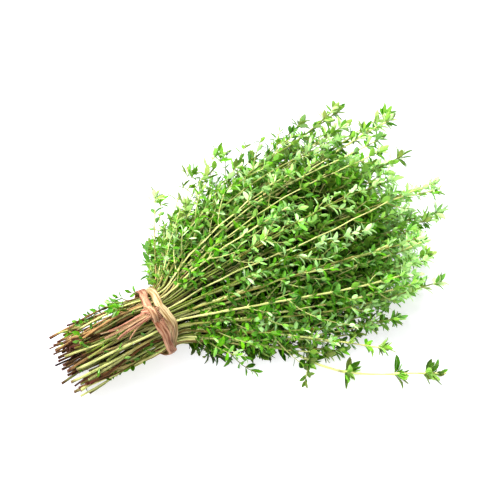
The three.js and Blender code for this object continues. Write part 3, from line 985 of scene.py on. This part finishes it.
def dress(sprig):
    """All leaves and side shoots of a sprig."""
    seed, nodes = SPRIG_SEED + sprig.number, leaf_nodes(sprig)
    foliage = Foliage(seed, nodes, STANDING_LIT, STANDING_VARIED) if sprig.stray else Foliage(seed, nodes)
    own_tint = random_tint(foliage.rng)
    end_tint = STANDING_TINT if sprig.stray else YOUNG_TINT
    for k, d in enumerate(nodes):
        to_tip = sprig.length - d
        leafy = np.clip((d - sprig.butt - LEAFY_FROM[sprig.side]) / FULL_GROWN_AFTER[sprig.side], 0, 1)
        tint = own_tint + end_tint * max(0, 1 - to_tip / YOUNG_LENGTH) + TIE_TINT * (1 - leafy)
        t, ways = out_ways(sprig, d, k)
        for out in ways:
            on_top = sprig.clear and to_tip > CLEAR_FROM_TIP and out[2] > 0.3
            if on_top and foliage.rng.random() < CLEAR_SHARE:
                continue
            root = sprig.path.at(d) + out * sprig.radius(d) * STEM_PLACE
            add_axil(foliage, sprig, root, t, out, to_tip, leafy, tint)
    add_crown(foliage, sprig, own_tint + end_tint)
    add_remnants(foliage, sprig, own_tint)
    return foliage


def add_axil(foliage, sprig, root, along, out, to_tip, leafy, tint):
    """A leaf, the tuft in its axil and perhaps a side shoot. leafy goes from 0 near the tie to 1."""
    rng = foliage.rng
    size = mix(YOUNGEST["size"] * sprig.lush, 1, min(1, to_tip / YOUNGEST["until"]))
    size = size * mix(TIE_LEAVES["size"], 1, leafy)
    buried = sprig.r < BURIED_SEAT and to_tip > BURIED_FROM_TIP
    if rng.random() < mix(TIE_LEAVES["share"], 1.0, leafy):
        angle = mix(*LEAF_ANGLES, min(1, to_tip / 9)) + rng.normal(0, ANGLES_DIFFER)
        foliage.add(root, along, out, size * rng.uniform(*LEAF_SIZES), angle, tint)
    number = rng.integers(0, 2) if buried or sprig.loose else rng.integers(2, 5)
    thick = sprig.lush if to_tip < 15 else 1
    add_tuft(foliage, root, along, out, number, size * thick, tint)
    if to_tip > SHOOT_FROM_TIP and rng.random() < shoot_likelihood(sprig, to_tip, leafy, buried):
        longest = min(LONGEST_SHOOT, SHOOT_AT_TIP + SHOOT_GROWTH * to_tip)
        add_shoot(foliage, root, along, out, longest * rng.uniform(0.4, 1), tint)


def shoot_likelihood(sprig, to_tip, leafy, buried):
    if sprig.loose:
        return 0
    likely = SHOOT_SHARE["buried" if buried else "open"] * mix(TIE_SHOOTS, 1, leafy)
    return likely * STANDING_SHOOTS if sprig.stray and to_tip < STANDING_OUT else likely


def add_remnants(foliage, sprig, tint):
    """A few leaves that were left on the cut ends of some outer sprigs."""
    if sprig.r < 0.6:
        return
    rng = foliage.rng
    for _ in range(rng.integers(0, 3)):
        d = rng.uniform(3, sprig.butt - 10)
        t, ways = out_ways(sprig, d, rng.integers(0, 2))
        centre = sprig.path.at(d)
        out = max(ways, key=lambda way: way[1:] @ centre[1:])
        root = centre + out * sprig.radius(d) * STEM_PLACE
        way = t if rng.random() < 0.5 else -t
        for _ in range(rng.integers(1, 4)):
            turn = turned(out, t, rng.normal(0, 0.6))
            foliage.add(root, way, turn, rng.uniform(0.35, 0.6), rng.uniform(15, 60), tint, 0.6, 0.3)


def add_crown(foliage, sprig, tint):
    """The close leaves at the very tip."""
    t, u, _ = (way[0] for way in sprig.frame(np.array([sprig.length])))
    end = sprig.path.at(sprig.length)
    for k in range(CROWN_LEAVES):
        way = turned(u, t, k * GOLDEN_ANGLE)
        start = end - t * (0.2 + 0.3 * k)
        size = mix(1, sprig.lush, 0.5) * foliage.rng.uniform(*CROWN_SIZES)
        foliage.add(start, t, way, size, 14 + 9 * k, tint, 0.3, 0.2)


def dress_trailing(sprig):
    """The trailing sprig's leaves are few and large, in clusters far from each other."""
    foliage = Foliage(SPRIG_SEED + sprig.number, trail_nodes(sprig), TRAIL_LIT)
    for d, (_, _, size, side_shoots) in zip(foliage.nodes, TRAIL_CLUSTERS):
        t = sprig.frame(np.array([d]))[0][0]
        add_cluster(foliage, sprig.path.at(d), t, size, side_shoots)
    end = sprig.path.at(sprig.length)
    t = sprig.path.along(sprig.length)
    level = unit(np.cross(UP, t))
    for k in range(TRAIL_END_LEAVES):
        way = turned(level, t, k * GOLDEN_ANGLE)
        tint = TRAIL_TINT if k % 3 else TRAIL_CENTRE_TINT
        size = foliage.rng.uniform(1.0, 1.35) * (0.65 if k < 2 else 1.0)
        foliage.add(end - t * (2.8 + 0.9 * k), t, way, size, 26 + 8 * k, tint, 0.3, 0.2)
    return foliage


def add_cluster(foliage, centre, t, size, side_shoots):
    """Two large leaves and smaller, paler ones on either side of the trailing stem, and side shoots."""
    rng = foliage.rng
    level = unit(np.cross(UP, t))
    for out, reach in ((level, size), (-level, 0.8 * size)):
        root = centre + out * 0.3
        for lengths, angles in TRAIL_PAIRS:
            long = reach * rng.uniform(*lengths)
            foliage.add(root, t, out, long, rng.uniform(*angles), TRAIL_TINT, 0.3, 0.2)
        raised = unit(out * 0.7 + UP)
        long = rng.uniform(0.95, 1.2)
        foliage.add(root, t, raised, long, rng.uniform(30, 75), TRAIL_CENTRE_TINT, 0.4, 0.3)
        add_tuft(foliage, root, t, out, 4, TRAIL_TUFT, TRAIL_CENTRE_TINT)
    for x, y, length in side_shoots:
        way = unit(np.array([x, y, 0.12]))
        out = np.cross(way, UP) * rng.choice([-1, 1])
        add_shoot(foliage, centre, way, 0.3 * out, length, TRAIL_TINT)


# ---- Stems ----


def stem_tints(sprig, d, x, rng):
    """Woody, red and bright at the distances d, which are at x along the bunch."""
    shares = OLDER_SHARES if sprig.p - 0.3 * sprig.q > OLDER_FROM else YOUNGER_SHARES
    age = rng.choice(STEM_AGES, p=shares) + rng.uniform(-0.1, 0.1)
    woody = np.clip(age * 1.15 - (x - WOODY_FROM) / (60 * max(age, 0) + 10), 0, 1)
    red = np.clip(rng.uniform(-0.5, 0.8) + 0.25 * np.sin(d / 17 + 6 * rng.random()), 0, 1)
    likely = PALE_SHARE["upper" if sprig.q > CLEAR_STEMS else "lower"]
    pale = sprig.trails or sprig.loose or rng.random() < likely
    bright = np.full_like(d, rng.uniform(*(PALE_STEM if pale else DARK_STEM)))
    if sprig.trails:
        woody, red, bright = 0 * d, 0 * d, 0 * d + 1
    return np.stack([woody, red, bright], 1)


def stem_shade(sprig, point):
    """0 on the outside of the bunch and 1 deep in it."""
    outward = sprig.r**BUTT_DEPTH if point[0] < FAN_START else openness(point)
    return 0 if sprig.trails else min(1, max(0, (STEM_LIT - outward) / STEM_LIT))


def add_stem(builder, sprig, foliage, rect):
    d = np.linspace(0, sprig.length, max(8, round(sprig.length / RING_STEP)))
    inner = np.array([n for n in foliage.nodes if RING_STEP < n < sprig.length - RING_STEP])
    if len(inner):
        d[np.abs(d[:, None] - inner[None]).argmin(0)] = inner
    _, u, v = sprig.frame(d)
    centres = sprig.path.at(d)
    knees = np.exp(-((d[:, None] - np.array([*inner, -99])[None]) ** 2) / 0.8).sum(1)
    radii = sprig.radius(d) * (1 + KNEE * np.minimum(knees, 1))
    if len(inner):
        aside = np.interp(d, inner, KINK * (np.arange(len(inner)) % 2 * 2 - 1))
        centres = centres + u * (aside * foliage.rng.uniform(0.4, 1.2))[:, None]
    tint = stem_tints(sprig, d, centres[:, 0], foliage.rng)
    centres[:, 2] = np.maximum(centres[:, 2], SURFACE + radii * 1.15)
    shade = np.array([stem_shade(sprig, centre) for centre in centres])
    add_tube(builder, centres, (u, v), radii, tint, rect, STEM_SIDES, d, STEM_SQUARE, shade)


def add_shoot_stem(builder, path, rect, rng):
    d = np.linspace(0, path.length, max(3, round(path.length / RING_STEP) + 1))
    t = path.along(d)
    level = unit(np.cross(UP, t) + 1e-6)
    radii = np.linspace(*SHOOT_RADII, len(d))
    tint = np.tile([0.0, rng.uniform(0, 0.3), rng.uniform(0.1, 0.9)], (len(d), 1))
    shade = np.full(len(d), min(1, max(0, 1 - openness(path.at(0)))))
    axes = (level, np.cross(t, level))
    add_tube(builder, path.at(d), axes, radii, tint, rect, SHOOT_SIDES, d, 0.0, shade)


STRIP_SHARE = 0.07  # of the bake's map, for the stems


def cells(count):
    """That many rectangles side by side in the bake's map, below the stems' strips."""
    across = math.ceil(math.sqrt(count))
    down = math.ceil(count / across)
    k = np.arange(count)
    left, bottom = (k % across) / across, (k // across) / down * (1 - STRIP_SHARE)
    return np.stack([left, bottom, left + 1 / across, bottom + (1 - STRIP_SHARE) / down], 1)


def sprig_mesh(name, sprigs, materials):
    builder = Builder()
    foliages = [dress_trailing(sprig) if sprig.trails else dress(sprig) for sprig in sprigs]
    rects = cells(sum(len(foliage) for foliage in foliages))
    strip = STRIP_SHARE / len(sprigs)
    for k, (sprig, foliage) in enumerate(zip(sprigs, foliages)):
        top = 1 - k * strip
        add_stem(builder, sprig, foliage, (0.0, top - 0.9 * strip, 1.0, top - 0.1 * strip))
        rects = foliage.build(builder, rects)
    return builder.mesh(name, materials)


def butt_shoots_mesh(name, materials):
    builder, foliage = Builder(), Foliage(BUTT_SEED)
    for start, way, length in BUTT_SHOOTS:
        along = unit(np.array(way))
        out = unit(np.cross(along, np.cross(UP, along)))
        tint = random_tint(foliage.rng) * BUTT_TINT
        add_shoot(foliage, np.array(start), along, 0.5 * out, length, tint)
    foliage.build(builder, cells(len(foliage)))
    return builder.mesh(name, materials)


# ---- The bast: straps of long fibres ----


def eased(keys, clock):
    """A value given at some clock angles round the tie, in degrees, and eased between them."""
    angles = np.array([keys[-1][0] - 360, *[key[0] for key in keys], keys[0][0] + 360], float)
    values = np.array([keys[-1][1], *[key[1] for key in keys], keys[0][1]], float)
    clock = np.mod(clock, 360)
    k = np.searchsorted(angles, clock, side="right") - 1
    t = (clock - angles[k]) / (angles[k + 1] - angles[k])
    return mix(values[k], values[k + 1], t * t * (3 - 2 * t))


def on_tie(x, clock, radius):
    """Points at clock angles round the tie: 0 is the far side, 90 on top, 180 near, 270 underneath."""
    turn = np.radians(clock)
    y = radius * np.cos(turn)
    z = np.maximum(radius * np.sin(turn), SURFACE + TIE_RADIUS - radius)
    return np.stack(np.broadcast_arrays(x, y, z), -1)


# A strap's points along its middle, half of its width there, what its chance starts from, how pink it is
Strap = namedtuple("Strap", "points half seed tone ridge thickness", defaults=[RIDGE, STRAP_THICKNESS])


def add_strap(builder, strap, rect):
    """A strip along the points that faces away from the tie's middle: ridged, with ragged edges."""
    rng = np.random.default_rng(strap.seed)
    points, ridge = strap.points, strap.ridge
    outward = unit(points * [0, 1, 1])
    along = unit(np.gradient(points, axis=0))
    side = unit(np.cross(along, outward))
    outward = np.cross(side, along)
    steps = np.linalg.norm(np.diff(points, axis=0), axis=1)
    run = np.concatenate([[0], np.cumsum(steps)])[:, None]
    s = np.linspace(-1, 1, STRAP_POINTS)[None]
    waves = np.zeros((len(points), STRAP_POINTS))
    for frequency in WAVES:
        drift = rng.uniform(0.5, 1.2) * np.sin(run / rng.uniform(4, 9) + rng.uniform(0, WHOLE_TURN))
        waves += np.sin(frequency * s + drift + rng.uniform(0, WHOLE_TURN)) / 2
    ragged = np.ones((len(points), STRAP_POINTS))
    for length in RAGS:
        left, right = rng.uniform(0, WHOLE_TURN, 2)
        ragged += RAGGED * np.where(s < 0, np.sin(run / length + left), np.sin(run / length + right))
    height = ridge * waves * (1 - s**6) - 0.25 * ridge * s**2
    reach = np.broadcast_to(strap.half, len(points))[:, None] * s * ragged
    upper = points[:, None] + side[:, None] * reach[..., None] + outward[:, None] * height[..., None]
    depth = strap.thickness * (1 - 0.6 * s**6)
    lower = upper - outward[:, None] * np.broadcast_to(depth, height.shape)[..., None]
    rings = np.concatenate([upper, lower[:, ::-1]], 1)
    rings[..., 2] = np.maximum(rings[..., 2], SURFACE + 0.02)
    add_strap_faces(builder, rings, run, [strap.tone, rng.random(), 0.0], rect)


def add_strap_faces(builder, rings, run, tint, rect):
    count, around = rings.shape[:2]
    s = np.linspace(-1, 1, STRAP_POINTS)
    place = np.zeros((count, around, 3))
    place[..., 0] = np.concatenate([s, s[::-1]])
    place[..., 1] = run
    tint = np.broadcast_to(tint, (count, around, 3))
    quads, uv = skin(count, around, rect)
    base = builder.count
    flat = [a.reshape(-1, 3) for a in (rings, place, tint)]
    builder.add(flat[0], quads[:, ::-1], flat[1], flat[2], 0, uv[:, ::-1], 0)
    k = np.arange(STRAP_POINTS - 1)
    first = np.stack([k, k + 1, around - 2 - k, around - 1 - k], 1)
    last = first[:, ::-1] + (count - 1) * around
    corner = np.broadcast_to(in_rect(rect, 0.0, 0.5), (len(k) * 2, 4, 2))
    builder.more_faces(np.concatenate([first, last]), base, 0, corner, 0)


def wrap_points(keys, clock, raised):
    """Once round the tie, from underneath to underneath."""
    under = np.clip((-np.sin(np.radians(clock)) - 0.4) / 0.5, 0, 1)
    return on_tie(eased(keys, clock), clock, mix(WRAP_RADIUS + raised, REST_RADIUS, under))


def wraps():
    """The two bands, of which the upper one is pinched by the knot."""
    clock = np.linspace(-90, 270, 120)
    yield Strap(wrap_points(LOWER_WRAP, clock, 0), BAST_WIDTH / 2, 1, WRAP_TONES[0])
    pinch = PINCH["depth"] * np.exp(-(((clock - KNOT_CLOCK) / PINCH["width"]) ** 2))
    points = wrap_points(UPPER_WRAP, clock, UPPER_OUT + RAISED * eased(UPPER_LIFT, clock))
    yield Strap(points, BAST_WIDTH / 2 * (1 - pinch), 2, WRAP_TONES[1], 1.3 * RIDGE)


def loops():
    """Humps over the knot."""
    done = np.linspace(0, 1, 18)
    for k, (start, end, (low, high), half, tone) in enumerate(LOOPS):
        radius = low + (high - low) * np.sin(math.pi * done)
        points = on_tie(mix(start[0], end[0], done), mix(start[1], end[1], done), radius)
        yield Strap(points, half * (0.75 + 0.35 * np.sin(math.pi * done)), 11 + k, tone, 1.2 * RIDGE, 0.9)


def tail():
    """The loose end, which lies on the stems."""
    done = np.linspace(0, 1, 30)
    for k, (shift, spread, length, half, tone) in enumerate(TAIL):
        x = mix(KNOT_ALONG, KNOT_ALONG - length, done)
        clock = mix(KNOT_CLOCK - 1, KNOT_CLOCK + 6, done) + (shift * 3.6 + spread * done**2.5)
        radius = 15.3 - 1.0 * np.sin(math.pi / 2 * done) + 0.25 * np.sin(done * 7 + shift)
        yield Strap(on_tie(x, clock, radius), half * np.linspace(1, 0.5, 30), 21 + k, tone, 0.8 * RIDGE)


def bridges():
    """Strands that run between the two wraps."""
    clock = np.linspace(*BRIDGED, 60)
    done = np.linspace(0, 1, 60)
    for k, (share, strays, radius, half, tone) in enumerate(BRIDGES):
        aside = share + strays * np.sin(math.pi * 2 * done + 9 * share)
        points = on_tie(mix(eased(LOWER_WRAP, clock), eased(UPPER_WRAP, clock), aside), clock, radius)
        yield Strap(points, half * (0.6 + 0.4 * np.sin(np.linspace(0.2, 2.9, 60))), 31 + k, tone)


def bast_mesh(name, material):
    builder = Builder()
    straps = [*wraps(), *loops(), *tail(), *bridges()]
    for k, strap in enumerate(straps):
        add_strap(builder, strap, (0.0, k / len(straps) + 0.01, 1.0, (k + 1) / len(straps) - 0.01))
    return builder.mesh(name, [material])


def place_piece(name, mesh, slot, *nodes):
    piece = bpy.data.objects.new(name, mesh)
    bpy.context.scene.collection.objects.link(piece)
    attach(piece, "root")
    if nodes:
        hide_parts(*nodes)


# ---- Materials ----


def srgb(code):
    """A linear colour from a six-digit hexadecimal one."""
    parts = [int(code[k : k + 2], 16) / 255 for k in (0, 2, 4)]
    return (*[c / 12.92 if c <= 0.04045 else ((c + 0.055) / 1.055) ** 2.4 for c in parts], 1.0)


class Shader:
    """A material's nodes, made and linked in short calls."""

    def __init__(self, name):
        self.material = bpy.data.materials.new(name)
        self.material.use_nodes = True
        self.tree = self.material.node_tree
        self.principled = self.tree.nodes["Principled BSDF"]

    def node(self, kind, **settings):
        node = self.tree.nodes.new(kind)
        for key, value in settings.items():
            setattr(node, key, value)
        return node

    def put(self, value, socket):
        if isinstance(value, bpy.types.NodeSocket):
            self.tree.links.new(value, socket)
        else:
            socket.default_value = value

    def maths(self, operation, a, b=0.0):
        node = self.node("ShaderNodeMath", operation=operation)
        self.put(a, node.inputs[0])
        self.put(b, node.inputs[1])
        return node.outputs[0]

    def plus(self, a, b):
        return self.maths("ADD", a, b)

    def less(self, a, b):
        return self.maths("SUBTRACT", a, b)

    def times(self, a, b):
        return self.maths("MULTIPLY", a, b)

    def mixed(self, share, a, b, blend="MIX"):
        node = self.node("ShaderNodeMix", data_type="RGBA", blend_type=blend)
        self.put(share, node.inputs["Factor"])
        self.put(a, node.inputs["A"])
        self.put(b, node.inputs["B"])
        return node.outputs["Result"]

    def eased(self, value, low, high):
        node = self.node("ShaderNodeMapRange", interpolation_type="SMOOTHSTEP")
        self.put(value, node.inputs["Value"])
        node.inputs["From Min"].default_value = low
        node.inputs["From Max"].default_value = high
        return node.outputs["Result"]

    def layered(self, colour, *layers):
        """Other colours laid over a colour, each with where it is and how strong."""
        for where, strength, code in layers:
            colour = self.mixed(self.times(where, strength), colour, srgb(code))
        return colour

    def lit(self, colour, light):
        return self.mixed(1.0, colour, self.vector(light, light, light), "MULTIPLY")

    def attribute(self, name):
        """The parts of a vector attribute."""
        node = self.node("ShaderNodeAttribute", attribute_name=name)
        apart = self.node("ShaderNodeSeparateXYZ")
        self.put(node.outputs["Vector"], apart.inputs[0])
        return apart.outputs[0], apart.outputs[1], apart.outputs[2]

    def number(self, name):
        return self.node("ShaderNodeAttribute", attribute_name=name).outputs["Fac"]

    def vector(self, x, y, z):
        node = self.node("ShaderNodeCombineXYZ")
        for value, socket in zip((x, y, z), node.inputs):
            self.put(value, socket)
        return node.outputs[0]

    def noise(self, scale, vector=None, detail=2.0):
        """Noise that runs from 0 to 1. Without a vector its scale is per metre."""
        node = self.node("ShaderNodeTexNoise")
        if vector is None:
            vector = self.node("ShaderNodeTexCoord").outputs["Object"]
        self.put(vector, node.inputs["Vector"])
        node.inputs["Scale"].default_value = scale
        node.inputs["Detail"].default_value = detail
        return node.outputs["Fac"]

    def bump(self, height, strength, distance):
        node = self.node("ShaderNodeBump")
        node.inputs["Strength"].default_value = strength
        node.inputs["Distance"].default_value = distance
        self.put(height, node.inputs["Height"])
        self.put(node.outputs["Normal"], self.principled.inputs["Normal"])

    def soften(self, weight, blue, scale):
        """Lets light through, a little less of it in blue."""
        self.principled.inputs["Subsurface Weight"].default_value = weight
        self.principled.inputs["Subsurface Radius"].default_value = (1.0, 1.0, blue)
        self.principled.inputs["Subsurface Scale"].default_value = scale

    def finish(self, colour, roughness, shine):
        self.put(colour, self.principled.inputs["Base Color"])
        self.put(roughness, self.principled.inputs["Roughness"])
        self.principled.inputs["Specular IOR Level"].default_value = shine
        return self.material


def leaf_material():
    s = Shader("thyme_leaf")
    across, along, open_ = s.attribute("place")
    fresh, bright, dry = s.attribute("tint")
    upper = s.mixed(fresh, srgb("0c5604"), srgb("6cbc04"))
    upper = s.mixed(s.eased(s.noise(420, detail=3.0), 0.35, 0.7), upper, srgb("3a8a06"))
    lower = s.mixed(fresh, srgb("4e9232"), srgb("90c444"))
    middle = s.maths("ABSOLUTE", across)
    slant = s.less(s.times(along, 30.0), s.times(middle, 7.0))
    veins = s.eased(s.maths("SINE", slant), 0.55, 1.0)
    colour = s.layered(
        s.mixed(s.times(s.number("under"), 0.85), upper, lower),
        (s.less(1.0, s.eased(middle, 0.04, 0.2)), 0.5, "8cb238"),  # the rib
        (veins, 0.14, "9abf44"),
        (s.less(1.0, s.eased(along, 0.0, 0.22)), 0.6, "90ae36"),  # next to the stalk
        (s.eased(dry, 0.35, 1.0), 0.6, "a4a460"),
        (s.eased(s.noise(3200, detail=0.0), 0.62, 0.72), 0.25, "2f5210"),  # spots
        # painted highlight: bright leaves on the lit outside and end of the bunch turn pale, partly their
        # own pale bloom
        (s.times(s.eased(bright, 0.25, 0.95), s.eased(open_, 0.7, 1.1)), 0.52, "bcd0a4"),
    )
    # Painted shade and light: by their openness, leaves are darker the deeper they sit in the bunch and
    # brighter towards its end, times their own brightness
    outside = s.plus(0.24, s.times(s.eased(open_, 0.45, 1.0), 0.92))
    outside = s.plus(outside, s.times(s.eased(open_, 0.94, 1.16), 0.5))
    colour = s.lit(colour, s.times(s.plus(0.62, s.times(bright, 0.8)), outside))
    s.bump(s.plus(s.times(veins, 0.4), s.noise(2600, detail=1.0)), 0.5, 0.00012)
    s.soften(0.2, 0.35, 0.0008)
    return s.finish(colour, s.plus(0.4, s.times(s.noise(1500), 0.25)), 0.12)


def stem_material():
    s = Shader("thyme_stem")
    round_, run, cut = s.attribute("place")
    woody, red, bright = s.attribute("tint")
    streaks = s.noise(1.0, s.vector(s.times(round_, 9.0), s.times(run, 0.16), red), 3.0)
    grooves = s.noise(1.0, s.vector(s.times(round_, 14.0), s.times(run, 0.12), red), 2.0)
    green = s.layered(
        s.mixed(bright, srgb("485810"), srgb("eeef9e")),
        (s.eased(streaks, 0.4, 0.7), 0.7, "a4bc4c"),
        (s.times(red, s.eased(s.noise(90), 0.45, 0.7)), 0.55, "b08444"),
        (s.eased(s.noise(170, detail=3.0), 0.55, 0.75), 0.55, "5c4a20"),
    )
    bark = s.mixed(bright, srgb("38200e"), srgb("c49a66"))
    bark = s.mixed(s.eased(streaks, 0.4, 0.75), bark, srgb("8a5a2c"))
    bark = s.layered(bark, (s.eased(s.noise(240), 0.5, 0.7), 0.6, "2c1508"))
    ends = s.times(s.less(1.0, s.eased(run, 0.8, 3.4)), s.eased(woody, 0.0, 0.3))
    colour = s.layered(s.mixed(s.eased(woody, 0.1, 0.75), green, bark), (ends, 0.75, "4c1518"))
    colour = s.lit(colour, s.less(1.0, s.times(s.number("under"), 0.84)))
    # Dark lines along the stems: painted shade like that in the gaps between stems, and partly the bark's
    # own dark furrows, more on woody stems
    shade_lines = s.times(s.eased(grooves, 0.52, 0.62), s.plus(0.38, s.times(woody, 0.3)))
    colour = s.mixed(shade_lines, colour, srgb("3c2810"))
    wood = s.mixed(s.eased(round_, 0.1, 0.45), srgb("94604a"), srgb("451420"))
    colour = s.mixed(cut, colour, wood)
    s.bump(grooves, 0.6, 0.0002)
    s.soften(0.12, 0.4, 0.0006)
    return s.finish(colour, s.plus(0.45, s.times(woody, 0.3)), 0.1)


def bast_material():
    s = Shader("bast")
    across, run, _ = s.attribute("place")
    pink, shift, _ = s.attribute("tint")
    bands = s.noise(1.0, s.vector(s.times(across, 2.2), s.times(run, 0.1), s.times(shift, 9.0)), 2.0)
    fibres = s.noise(1.0, s.vector(s.times(across, 9.0), s.times(run, 0.16), shift), 3.0)
    pale = s.mixed(pink, srgb("d6c694"), srgb("cc8e72"))
    deep = s.mixed(pink, srgb("947a46"), srgb("824230"))
    colour = s.layered(
        s.mixed(s.eased(bands, 0.38, 0.62), deep, pale),
        (s.eased(fibres, 0.5, 0.72), 0.6, "ead0ac"),
        (s.less(1.0, s.eased(fibres, 0.32, 0.45)), 0.85, "542818"),
    )
    s.bump(fibres, 0.7, 0.0003)
    return s.finish(colour, s.plus(0.5, s.times(fibres, 0.25)), 0.15)


def floor_material():
    s = Shader("white_table")
    shade = s.mixed(s.noise(6), (0.37, 0.37, 0.4, 1), (0.39, 0.39, 0.42, 1))
    s.principled.inputs["Emission Color"].default_value = (1, 1, 1, 1)
    s.principled.inputs["Emission Strength"].default_value = 0.74
    return s.finish(shade, 0.8, 0.1)


# ---- Floor, light and camera ----

VIEW_AZIMUTH = -33
VIEW_ELEVATION = 45
VIEW_DISTANCE = 700
PICTURE_SIZE = 500
FOCAL_PIXELS = 1707
SENSOR = 36
TIE_IN_PICTURE = (163, 318)
WORLD_STRENGTH = 0.15
LAMPS = {
    "key": {"strength": 6.35, "width": 30, "azimuth": 185, "elevation": 68},
    "fill": {"strength": 3.0, "width": 60, "azimuth": -75, "elevation": 48},
}


def add_floor():
    bpy.ops.mesh.primitive_plane_add(size=6)
    floor = bpy.context.object
    floor.name = "floor"
    floor.data.materials.append(floor_material())
    floor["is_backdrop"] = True


def view_axes(azimuth, elevation):
    """Right, up and backwards for what looks at the bunch from that far round and up, in degrees."""
    around, up = math.radians(azimuth), math.radians(elevation)
    back = np.array([math.sin(around) * math.cos(up), -math.cos(around) * math.cos(up), math.sin(up)])
    right = unit(np.cross(UP, back))
    return right, np.cross(back, right), back


def add_lamp(name, strength, width, azimuth, elevation):
    """A soft light that is as wide as that many degrees of the sky."""
    light = bpy.data.lights.new(name, "SUN")
    light.angle = math.radians(width)
    light.energy = strength
    lamp = bpy.data.objects.new(name, light)
    bpy.context.scene.collection.objects.link(lamp)
    right, above, back = view_axes(azimuth, elevation)
    set_frame(lamp, right, above, back, back)


def set_frame(thing, right, up, back, position):
    matrix = Matrix.Identity(4)
    for k, axis in enumerate((right, up, back, position)):
        matrix.col[k].xyz = axis
    thing.matrix_world = matrix


def add_light():
    world = bpy.data.worlds.new("studio")
    world.use_nodes = True
    background = world.node_tree.nodes["Background"]
    background.inputs["Color"].default_value = (1, 1, 1, 1)
    background.inputs["Strength"].default_value = WORLD_STRENGTH
    bpy.context.scene.world = world
    for name, settings in LAMPS.items():
        add_lamp(name, **settings)


def add_camera():
    right, above, back = view_axes(VIEW_AZIMUTH, VIEW_ELEVATION)
    rightward = TIE_IN_PICTURE[0] - PICTURE_SIZE / 2
    upward = PICTURE_SIZE / 2 - TIE_IN_PICTURE[1]
    aside = (right * rightward + above * upward) * VIEW_DISTANCE / FOCAL_PIXELS
    camera = bpy.data.cameras.new("camera")
    camera.sensor_width = SENSOR
    camera.lens = FOCAL_PIXELS * SENSOR / PICTURE_SIZE
    camera.clip_start = 0.01
    eye = bpy.data.objects.new("camera", camera)
    bpy.context.scene.collection.objects.link(eye)
    set_frame(eye, right, above, back, (TIE + back * VIEW_DISTANCE - aside) * MM)
    bpy.context.scene.camera = eye


# ---- The scene ----

bpy.context.scene.view_settings.view_transform = "Standard"
add_camera()
add_light()
add_floor()

sprig_materials = [stem_material(), leaf_material()]
for i in range(SPRIG_COUNT):
    number = f"{i + 1:02d}"
    node = "trailing_sprig" if i == TRAILING_SPRIG else f"sprig_{number}"
    name = "trailing_thyme_sprig" if i == TRAILING_SPRIG else f"thyme_sprig_{number}"
    place_piece(name, sprig_mesh(name, [solid_sprig(i)], sprig_materials), "leaf", node)

places = iter(filler_seats())
fillers = [filler_sprig(100 + k, *next(places)) for k in range(FILLER_COUNT)]
fillers += [low_sprig(160 + k, *next(places)) for k in range(LOW_COUNT)]
fillers += [aimed_sprig(200 + k, *next(places), tip) for k, (_, tip) in enumerate(AIMED)]
for k in range(0, len(fillers), SPRIGS_A_PIECE):
    name = f"inner_sprigs_{k // SPRIGS_A_PIECE + 1}"
    place_piece(name, sprig_mesh(name, fillers[k : k + SPRIGS_A_PIECE], sprig_materials), "leaf")
place_piece("butt_shoots", butt_shoots_mesh("butt_shoots", sprig_materials), "leaf")
place_piece("bast_strap", bast_mesh("bast_strap", bast_material()), "bast", "bast_tie")

boxes = {"cad": CAD_BOX, "visual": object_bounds()}
{key: [[float(x) for x in corner] for corner in box] for key, box in boxes.items()}
